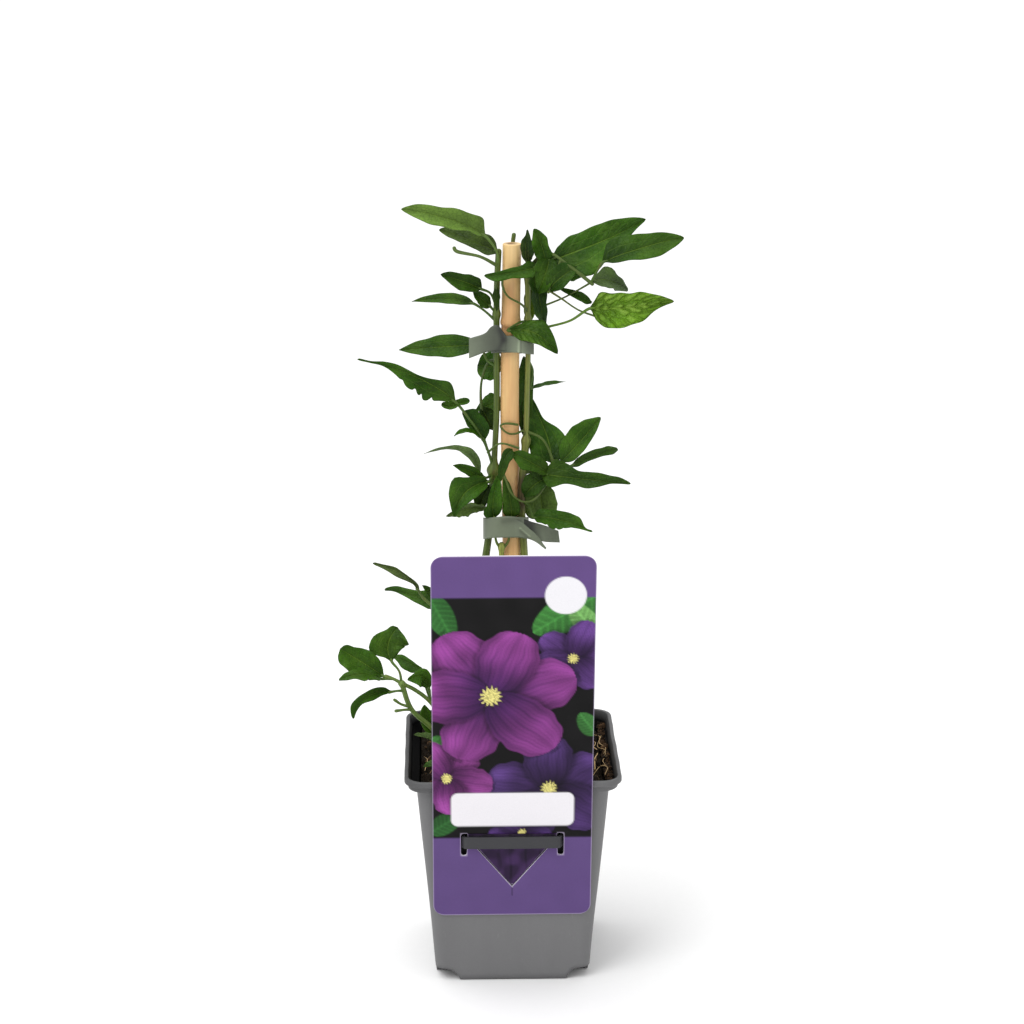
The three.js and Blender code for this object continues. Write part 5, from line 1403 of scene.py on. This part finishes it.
def paintPrint(u, w):
    # the printed side, point by point: bands, leaves, blooms, a plain white bar and a plain disc
    spots = np.stack([u, w], -1)
    grain = ripples(spots, 1.2, 61, 24)[..., None]
    broad = ripples(spots, 16.0, 62, 12)[..., None]
    low, high = label["picture"]
    colour = label["ground"] * (1 + 0.35 * broad + 0.1 * grain)
    for foot, tip, width, tone in printedLeaves:
        foot, tip = np.array(foot, float), np.array(tip, float)
        length = np.linalg.norm(tip - foot)
        axis = (tip - foot) / length
        along = (spots - foot) @ axis / length
        across = (spots - foot) @ np.array([-axis[1], axis[0]])
        half = width / 2 * np.sqrt(np.clip(4 * along * (1 - along), 0, 1)) * (1.1 - 0.3 * along)
        inside = smooth(half - np.abs(across), -0.3, 0.5) * (along > 0) * (along < 1)
        ribs = 0.5 + 0.5 * np.cos((along * 9 - np.abs(across) / width * 3) * 2 * np.pi)
        light = 0.78 + 0.25 * ribs**3 + 0.35 * np.exp(-((across / 0.5) ** 2))
        light = light - 0.3 * smooth(across, -width / 2, width / 2)
        colour = blend(colour, linear(*tone) * light[..., None] * (1 + 0.1 * grain), inside[..., None])
    for bloom in blooms:
        colour = paintBloom(colour, spots, bloom, grain, broad)
    inPicture = smooth(w, low - 0.25, low + 0.25) * (1 - smooth(w, high - 0.25, high + 0.25))
    plain = np.where((w > 90)[..., None], label["header"], label["footer"]) * (1 + 0.02 * broad)
    colour = blend(plain, colour, inPicture[..., None])
    bar = label["bar"]
    farU = np.abs(u - bar["u"]) - bar["half"] + bar["corner"]
    farW = np.abs(w - (bar["low"] + bar["high"]) / 2) - (bar["high"] - bar["low"]) / 2 + bar["corner"]
    away = np.hypot(np.maximum(farU, 0), np.maximum(farW, 0)) + np.minimum(np.maximum(farU, farW), 0)
    away = away - bar["corner"]
    colour = colour * (1 - 0.35 * (1 - smooth(away, 0, 1.0))[..., None])
    colour = blend(colour, np.array(bar["tone"]), 1 - smooth(away, -0.3, 0.3)[..., None])
    disc = label["disc"]
    away = np.hypot(u - disc["u"], w - disc["w"]) - disc["radius"]
    colour = blend(colour, np.array(disc["tone"]), 1 - smooth(away, -0.3, 0.3)[..., None])
    return np.clip(colour, 0, 1)


def blend(first, second, share):
    return first * (1 - share) + second * share


def paintBloom(colour, spots, bloom, grain, broad):
    # wide petals about a centre, each laid over the last, with ribs along it and a soft shadow beside it
    centre, reach, count, start, inner, outer, rib = bloom
    offset = spots - np.array(centre, float)
    order = [(k * 2) % count if count % 2 else (k * 2 + (k * 2 >= count)) % count for k in range(count)]
    for k in order:
        heading = start + 2 * np.pi * k / count + 0.12 * np.sin(5.1 * k + reach)
        axis = np.array([np.cos(heading), np.sin(heading)])
        along = offset @ axis / (reach * (1 + 0.07 * np.sin(3.7 * k + reach)))
        across = offset @ np.array([-axis[1], axis[0]]) / reach
        bend = across + 0.06 * np.sin(2.2 * k) * along**2
        share = np.clip(along, 0.001, 0.999)
        wavy = 1 + 0.05 * np.sin(26 * share + 2 * k) * share
        half = 0.43 * (4.2 / count) ** 0.5 * share**0.55 * (1 - share) ** 0.42 * 2.0 * wavy
        edge = (half - np.abs(bend)) * reach
        within = (along > 0) & (along < 1)
        inside = smooth(edge, -0.25, 0.35) * within
        shadow = smooth(edge, -2.6, 0.0) * (along > -0.02) * (along < 1.05)
        colour = colour * (1 - 0.45 * shadow * (1 - inside))[..., None]
        fan = bend / np.maximum(half, 0.02)
        drift = 0.5 * np.sin(7 * share + k) + 0.25 * np.sin(19 * share + 2 * k)
        lines = 0.5 + 0.5 * np.cos(fan * 15 + drift)
        hairs = 0.5 + 0.5 * np.cos(fan * 41 + 2 * drift + 3 * np.sin(5 * share))
        middle = np.exp(-((fan / 0.2) ** 2)) * (1 - share) ** 0.5
        tone = smooth(share, 0.02, 0.85)[..., None]
        petal = blend(linear(*inner), linear(*outer), tone)
        glow = np.exp(-(((np.abs(fan) - 0.45) / 0.3) ** 2)) * smooth(share, 0.25, 0.9)
        petal = petal * (1 + 0.55 * glow)[..., None]
        petal = blend(petal, linear(*rib), (0.55 * lines**5 * (1 - 0.85 * share))[..., None])
        petal = blend(petal, linear(*rib), (0.3 * hairs**3 * (1 - 0.5 * share))[..., None])
        relief = 0.28 * middle - 0.18 * np.abs(fan) ** 3 + 0.16 * np.sin(fan * 2.0 + k)
        petal = petal * (1 + relief)[..., None]
        petal = petal * (1 + 0.05 * grain + 0.2 * broad)
        colour = blend(colour, petal, inside[..., None])
    radius = np.hypot(offset[..., 0], offset[..., 1])
    angle = np.arctan2(offset[..., 1], offset[..., 0])
    tuft = reach * 0.115 * (1 + 0.22 * np.cos(13 * angle) + 0.1 * np.cos(29 * angle + 1))
    colour = colour * (1 - 0.5 * (1 - smooth(radius, tuft, tuft * 1.5)))[..., None]
    threads = 0.78 + 0.3 * np.cos(17 * angle + 5 * radius) * smooth(radius, 0.3, 1.4)
    cream = linear(226, 216, 132) * threads[..., None]
    return blend(colour, cream, (1 - smooth(radius - tuft, -0.3, 0.3))[..., None])


def printMaterial():
    # gloss print: the painted colours under a very fine dot grain and a few scuffs
    made, tree, shader = newMaterial("labelPrint")
    place = objectPlace(tree)
    tint = attribute(tree, "tint", "Color")
    dots = noise(tree, place, 2600, 2, 0.6)
    soft = noise(tree, place, 35, 3)
    shade = product(tree, scaled(tree, dots, 0.16, 0.92), scaled(tree, soft, 0.08, 0.96))
    feed(tree, shader, "Base Color", blendColour(tree, 1.0, tint, shade, "MULTIPLY"))
    feed(tree, shader, "Roughness", scaled(tree, soft, 0.16, 0.24))
    feed(tree, shader, "Specular IOR Level", 0.14)
    bump(tree, shader, dots, 0.00002, 0.4)
    return made


def cardMaterial(name, level, rough):
    # bare card of the back and of the cut edges
    made, tree, shader = newMaterial(name)
    place = objectPlace(tree)
    grain = noise(tree, place, 1300, 4, 0.6)
    broad = noise(tree, place, 40, 3)
    body = blendColour(tree, grain, linear(*level) * 0.9, linear(*level))
    body = blendColour(tree, band(tree, broad, 0.5, 0.8, 0, 0.25), body, linear(*level) * 0.85)
    feed(tree, shader, "Base Color", body)
    feed(tree, shader, "Roughness", scaled(tree, grain, 0.2, rough))
    bump(tree, shader, grain, 0.00004, 0.5)
    return made


def splitLine(stops, step):
    # a line that passes through every stop, in near even steps
    out = [stops[0]]
    for a, b in zip(stops[:-1], stops[1:]):
        count = max(1, round((b - a) / step))
        out.extend(a + (b - a) * np.arange(1, count + 1) / count)
    return np.array(out)


def labelFaces():
    # flat patches with shared borders: the card around its opening, then the tongue that hangs in it
    half, height = label["width"] / 2, label["height"]
    slot, vee, step = label["slot"], label["vee"], label["step"]
    corner = label["corner"]
    outward = [vee["half"], slot["inner"], slot["half"], half - corner, half]
    columns = splitLine([*(-value for value in outward[::-1]), 0, *outward], step)
    upward = [0, corner, vee["tip"], slot["foot"], slot["shoulder"], slot["top"], height - corner, height]
    rows = splitLine(upward, step)
    near = lambda line, value: int(np.argmin(np.abs(line - value)))
    u, w = np.meshgrid(columns, rows)
    middleU, middleW = (u[:-1, :-1] + u[1:, 1:]) / 2, (w[:-1, :-1] + w[1:, 1:]) / 2
    out = np.abs(middleU)
    below = middleW < slot["top"]
    gone = (out < slot["inner"]) & (middleW > slot["shoulder"]) & below
    gone |= (out > slot["inner"]) & (out < slot["half"]) & (middleW > slot["foot"]) & below
    veeZone = (out < vee["half"]) & (middleW > vee["tip"]) & (middleW < slot["shoulder"])
    points = [np.stack([u.ravel(), w.ravel(), 0 * u.ravel()], -1)]
    faces = [gridQuads(len(rows), len(columns))[:, ::-1][~(gone | veeZone).ravel()]]
    count = u.size
    # beside the V the columns are squeezed between its edge and the column at its shoulder
    inside = np.arange(near(rows, vee["tip"]), near(rows, slot["shoulder"]) + 1)
    slant = vee["half"] / (slot["shoulder"] - vee["tip"])
    reach = np.maximum((rows[inside] - vee["tip"]) * slant, 0)
    reach[-1] = vee["half"] - 0.25
    for sign in (-1, 1):
        line = np.abs(columns[near(columns, 0): near(columns, vee["half"]) + 1])
        patchU = sign * (reach[:, None] + (vee["half"] - reach)[:, None] * line[None] / vee["half"])
        patch = np.stack([patchU, np.repeat(rows[inside][:, None], len(line), 1), 0 * patchU], -1)
        quads = gridQuads(*patchU.shape)
        faces.append((quads[:, ::-1] if sign > 0 else quads) + count)
        points.append(patch.reshape(-1, 3))
        count += patchU.size
    # the tongue: its top row is the slot's top edge, and it is pressed back behind the bar
    line = columns[near(columns, -slot["inner"]): near(columns, slot["inner"]) + 1] / slot["inner"]
    down = splitLine([0, 0.9, slot["top"] - slot["shoulder"], slot["top"] - vee["tip"] - 1.0], step)
    level = slot["top"] - down
    spread = np.maximum((level - vee["tip"]) * slant - label["kerf"] * 1.25, 0.3)
    shoulder = smooth(level, slot["shoulder"] - 0.1, slot["shoulder"] + 0.9)
    spread = np.where(level > slot["shoulder"], slot["inner"] - 0.3, spread)
    widened = np.minimum(spread, vee["half"] - 0.6 + shoulder * 4.2)
    spread = np.where(level > slot["shoulder"] - 0.2, widened, spread)
    spread[0] = slot["inner"]
    pressed = label["back"] * smooth(down, 0, 2.2) * (1 - 0.5 * smooth(down, 8, 25))
    tongue = np.broadcast_arrays(spread[:, None] * line[None], level[:, None], -pressed[:, None])
    faces.append(gridQuads(len(level), len(line)) + count)
    points.append(np.stack(tongue, -1).reshape(-1, 3))
    return np.concatenate(points), np.concatenate(faces)


def mergeClose(points, faces, near=1e-4):
    # vertices that share a place become one, and those that no face uses go
    keys = np.round(points / near).astype(np.int64)
    _, first, where = np.unique(keys, axis=0, return_index=True, return_inverse=True)
    faces = where.reshape(-1)[faces]
    used, back = np.unique(faces, return_inverse=True)
    return points[first][used], back.reshape(faces.shape)


def borderEdges(faces):
    # directed edges that only one face has
    edges = np.concatenate([faces[:, [k, (k + 1) % 4]] for k in range(4)])
    _, where, uses = np.unique(np.sort(edges, 1), axis=0, return_inverse=True, return_counts=True)
    return edges[uses[where.reshape(-1)] == 1]


def buildLabel():
    points, faces = mergeClose(*labelFaces())
    half, middle = label["width"] / 2, label["height"] / 2
    u, w = roundCorners(points[:, 0], points[:, 1] - middle, half, middle, label["corner"])
    points[:, 0], points[:, 1] = u, w + middle
    # soften the opening's corners: its border points near them settle towards their neighbours
    border = borderEdges(faces)
    slot, vee = label["slot"], label["vee"]
    spots = [("half", "top"), ("half", "foot"), ("inner", "foot"), ("inner", "shoulder")]
    near = np.zeros(len(points), bool)
    for u0, w0 in [(slot[across], slot[up]) for across, up in spots] + [(vee["half"], slot["shoulder"])]:
        near |= np.hypot(np.abs(points[:, 0]) - u0, points[:, 1] - w0) < 1.3
    near &= points[:, 2] > -1e-6
    onBorder = np.zeros(len(points), bool)
    onBorder[border.ravel()] = True
    near &= onBorder
    for _ in range(6):
        total, number = np.zeros_like(points), np.zeros((len(points), 1))
        for a, b in (border.T, border.T[::-1]):
            np.add.at(total, a, points[b])
            np.add.at(number, a, 1)
        settled = 0.5 * points + 0.5 * total / np.maximum(number, 1)
        points = np.where(near[:, None], settled, points)
    # a sheet bows a little
    u, w, d = points.T
    colour = paintPrint(u, w)
    # the tongue is painted darker: partly the dark foot of the picture, partly painted shade where it is
    # pressed back behind the bar
    spots = np.stack([u, w], -1)
    vein = smooth(np.cos(u * 1.1 + 0.8 * ripples(spots, 9, 67)), 0.5, 1)
    light = 0.45 + 0.6 * smooth(ripples(spots, 9, 66), -0.7, 0.9) - 0.2 * vein
    petal = linear(58, 36, 76) * light[:, None]
    colour = np.where((d < -0.02)[:, None], petal, colour)
    slit = np.exp(-((u / 0.22) ** 2)) * (w > 9.2) * (w < vee["tip"])
    colour = colour * (1 - 0.55 * slit[:, None])
    # print stops just short of the cut edges
    colour = blend(colour, linear(190, 178, 204), (0.55 * onBorder)[:, None])
    bow = 0.5 * ((w - 90) / 90) ** 2 * (w > 60) + 0.25 * (u / half) ** 2 * (w > 45)
    d = d + 0.25 * bow
    size = len(points)
    front, back = d + label["thick"] / 2, d - label["thick"] / 2
    sin, cos = np.sin(label["lean"]), np.cos(label["lean"])

    def lay(out):
        y, z = label["footY"] - out * cos - w * sin, label["footZ"] - out * sin + w * cos
        return np.stack([label["x"] + u, y, z], -1)

    start, end = border.T
    edge = np.stack([end, start, start + size, end + size], -1)
    allFaces = np.concatenate([faces, faces[:, ::-1] + size, edge])
    heap = newHeap()
    pour(heap, np.vstack([lay(front), lay(back)]) * mm, allFaces, tint=np.vstack([colour, colour]))
    materials = [
        printMaterial(),
        cardMaterial("labelBack", (226, 226, 222), 0.45),
        cardMaterial("labelEdge", (222, 216, 228), 0.5),
    ]
    card = makePiece("labelCard", heap, materials, "label")
    slots = np.concatenate([np.zeros(len(faces), int), np.ones(len(faces), int), np.full(len(border), 2)])
    card.data.polygons.foreach_set("material_index", slots)
    card.data.polygons.foreach_set("use_smooth", slots < 0)


buildLabel()
print("label built")


# tape ties

# each tie's shades by stretches, its lines along creases and the lower tie's tail are painted shade and
# painted highlights
ties = {
    "thick": 0.42,
    "upper": {
        "middle": (0.5, -0.8), "half": (8.7, 5.9), "z": 267.3, "height": 7.0, "rise": 0.26, "bulge": 0.78,
        "arch": 0,
        "paintedShades": (
            (-17, 0.9), (-12, 0.62), (-7, 0.36), (-2, 0.5), (2, 1.1), (4.5, 1.2), (7, 0.7), (9.5, 0.62)
        ),
        "creaseShading": (
            ((-4.6, 275), (-3.2, 270.6), 1.5, 0.2), ((-3.2, 270.6), (-5.2, 266.6), 1.1, 0.45),
            ((2.9, 264), (3.1, 271), 0.45, 1.7), ((3.9, 264), (3.9, 271), 0.25, 0.6),
        ),
    },
    "lower": {
        "middle": (-2.15, -2.35), "half": (9.55, 7.25), "z": 189.9, "height": 9.0, "rise": 0.24, "bulge": 0.6,
        "arch": 0.75,
        "paintedShades": ((-12, 0.8), (-8, 1.0), (-2, 0.95), (4, 0.85), (8, 0.95), (14, 0.9)),
        "creaseShading": (
            ((3.5, 192), (7.6, 188.4), 0.28, 2.0), ((3.9, 190.8), (7.2, 187.6), 0.8, 0.6),
            ((-3, 195), (3, 195.6), 1.6, 0.62), ((-9, 187.5), (-3, 187), 1.6, 1.18),
        ),
        "tail": ((5, 0.1), (8.5, 0.13), (10.5, 0.5), (13, 0.85), (20, 0.75)),
    },
    "grey": linear(106, 115, 95),
}
# ends of tape: pairs of lower and upper edge points
upperWings = [
    [
        ((-2, -6.3, 266), (-2, -6.3, 272.4)),
        ((-5.8, -6.7, 266), (-5.8, -6.8, 276.8)),
        ((-8.2, -6.5, 265.8), (-8.2, -6.6, 276)),
        ((-10.6, -6.3, 265.4), (-10.6, -6.3, 273.4)),
        ((-17.2, -6.3, 262.9), (-17.2, -5.6, 271)),
    ],
    [
        ((1, -6.3, 266), (1, -6.3, 271.6)),
        ((5, -6.3, 264.8), (5, -6.3, 270)),
        ((9.2, -5.2, 264.2), (9.2, -5.2, 268.6)),
    ],
]
lowerWings = [
    [
        ((1, -9.1, 187.8), (1, -9.1, 195.6)),
        ((4, -9.8, 188), (4, -9.6, 194.6)),
        ((6.8, -9.9, 187.4), (6.8, -9.8, 192.2)),
        ((10, -10.1, 186), (10, -10, 189.4)),
        ((14, -10.6, 182.9), (14.4, -10.4, 183.5)),
    ],
    [
        ((5, -8.2, 189), (5, -8.2, 195.4)),
        ((9, -7, 186.6), (9, -6.8, 193.6)),
        ((14, -5.6, 184.8), (14, -5, 191.6)),
        ((20.2, -4, 184), (19.6, -3.4, 188.8)),
    ],
]


def tapeMaterial():
    # soft grey-green plastic tape: faint lengthwise drawing lines, dull sheen, dust
    made, tree, shader = newMaterial("tieTape")
    place = objectPlace(tree)
    tint = attribute(tree, "tint", "Color")
    lines = noise(tree, place, 700, 3, 0.6, stretch=(0.12, 0.12, 1))
    broad = noise(tree, place, 120, 3)
    shade = product(tree, scaled(tree, lines, 0.16, 0.92), scaled(tree, broad, 0.4, 0.8))
    feed(tree, shader, "Base Color", blendColour(tree, 1.0, tint, shade, "MULTIPLY"))
    feed(tree, shader, "Roughness", scaled(tree, broad, 0.2, 0.38))
    feed(tree, shader, "Specular IOR Level", 0.5)
    bump(tree, shader, lines, 0.00006, 0.6)
    return made


def tapeTint(points, paintedShades, creaseShading):
    # the tape's grey with painted light: painted darker or lighter by stretches across the front, with
    # painted shadows and highlights along a few creases
    tint = ties["grey"] * np.interp(points[..., 0], *np.array(paintedShades, float).T)[..., None]
    spots = points[..., ::2]
    for start, stop, width, level in creaseShading:
        start, run = np.array(start, float), np.subtract(stop, start)
        share = np.clip((spots - start) @ run / (run @ run), 0, 1)[..., None]
        away = np.linalg.norm(spots - start - run * share, axis=-1, keepdims=True)
        tint = tint * (1 + (level - 1) * np.exp(-((away / width) ** 2)) * (points[..., 1:2] < -4))
    return tint


def tieLoop(heap, settings, seed):
    # the tape's middle line is a rounded oblong seen from above; it stands higher in front
    angle = np.linspace(0, 2 * np.pi, 160, endpoint=False)
    power = lambda value: np.sign(value) * np.abs(value) ** settings["bulge"]
    halfX, halfY = np.array(settings["half"]) - 0.3
    flat = np.stack([halfX * power(np.cos(angle)), halfY * power(np.sin(angle))], -1)
    up = np.linspace(-0.5, 0.5, 13)
    x = settings["middle"][0] + flat[:, :1] + 0 * up
    y = settings["middle"][1] + flat[:, 1:] + 0 * up
    crease = 0.12 * ripples(np.stack([x, y, 0 * x], -1), 9, seed) * (up * 2)
    z = settings["z"] - settings["rise"] * (flat[:, 1:]) + up[None] * settings["height"] + crease
    z = z + settings["arch"] * (1 - (flat[:, :1] / halfX) ** 2) * (flat[:, 1:] < 0)
    grid = np.stack([x, y, z], -1)[:, ::-1]
    tint = tapeTint(grid, settings["paintedShades"], settings["creaseShading"])
    sheetBody(heap, grid * mm, ties["thick"] * mm, loop=True, tint=tint)


def tieWing(heap, pairs, paintedShades, creaseShading, seed):
    low = smoothPath([pair[0] for pair in pairs], 40)
    high = smoothPath([pair[1] for pair in pairs], 40)
    share = np.linspace(0, 1, 13)[None, :, None]
    grid = low[:, None] * (1 - share) + high[:, None] * share
    grid[..., 1] += 0.22 * ripples(grid, 8, seed) * np.linspace(0, 1, 40)[:, None]
    sheetBody(heap, grid * mm, ties["thick"] * mm, tint=tapeTint(grid, paintedShades, creaseShading))


def buildTies():
    tape = tapeMaterial()
    for name, node, settings, wings, seed in (
        ("upperTie", "tie_upper", ties["upper"], upperWings, 71),
        ("lowerTie", "tie_lower", ties["lower"], lowerWings, 81),
    ):
        heap = newHeap()
        tieLoop(heap, settings, seed)
        for number, pairs in enumerate(wings):
            paintedShades = settings["tail"] if number == 1 and "tail" in settings else settings["paintedShades"]
            tieWing(heap, pairs, paintedShades, settings["creaseShading"], seed + number + 1)
        makePiece(name, heap, [tape], node)


buildTies()
print("ties built")


# studio

buildStudio()
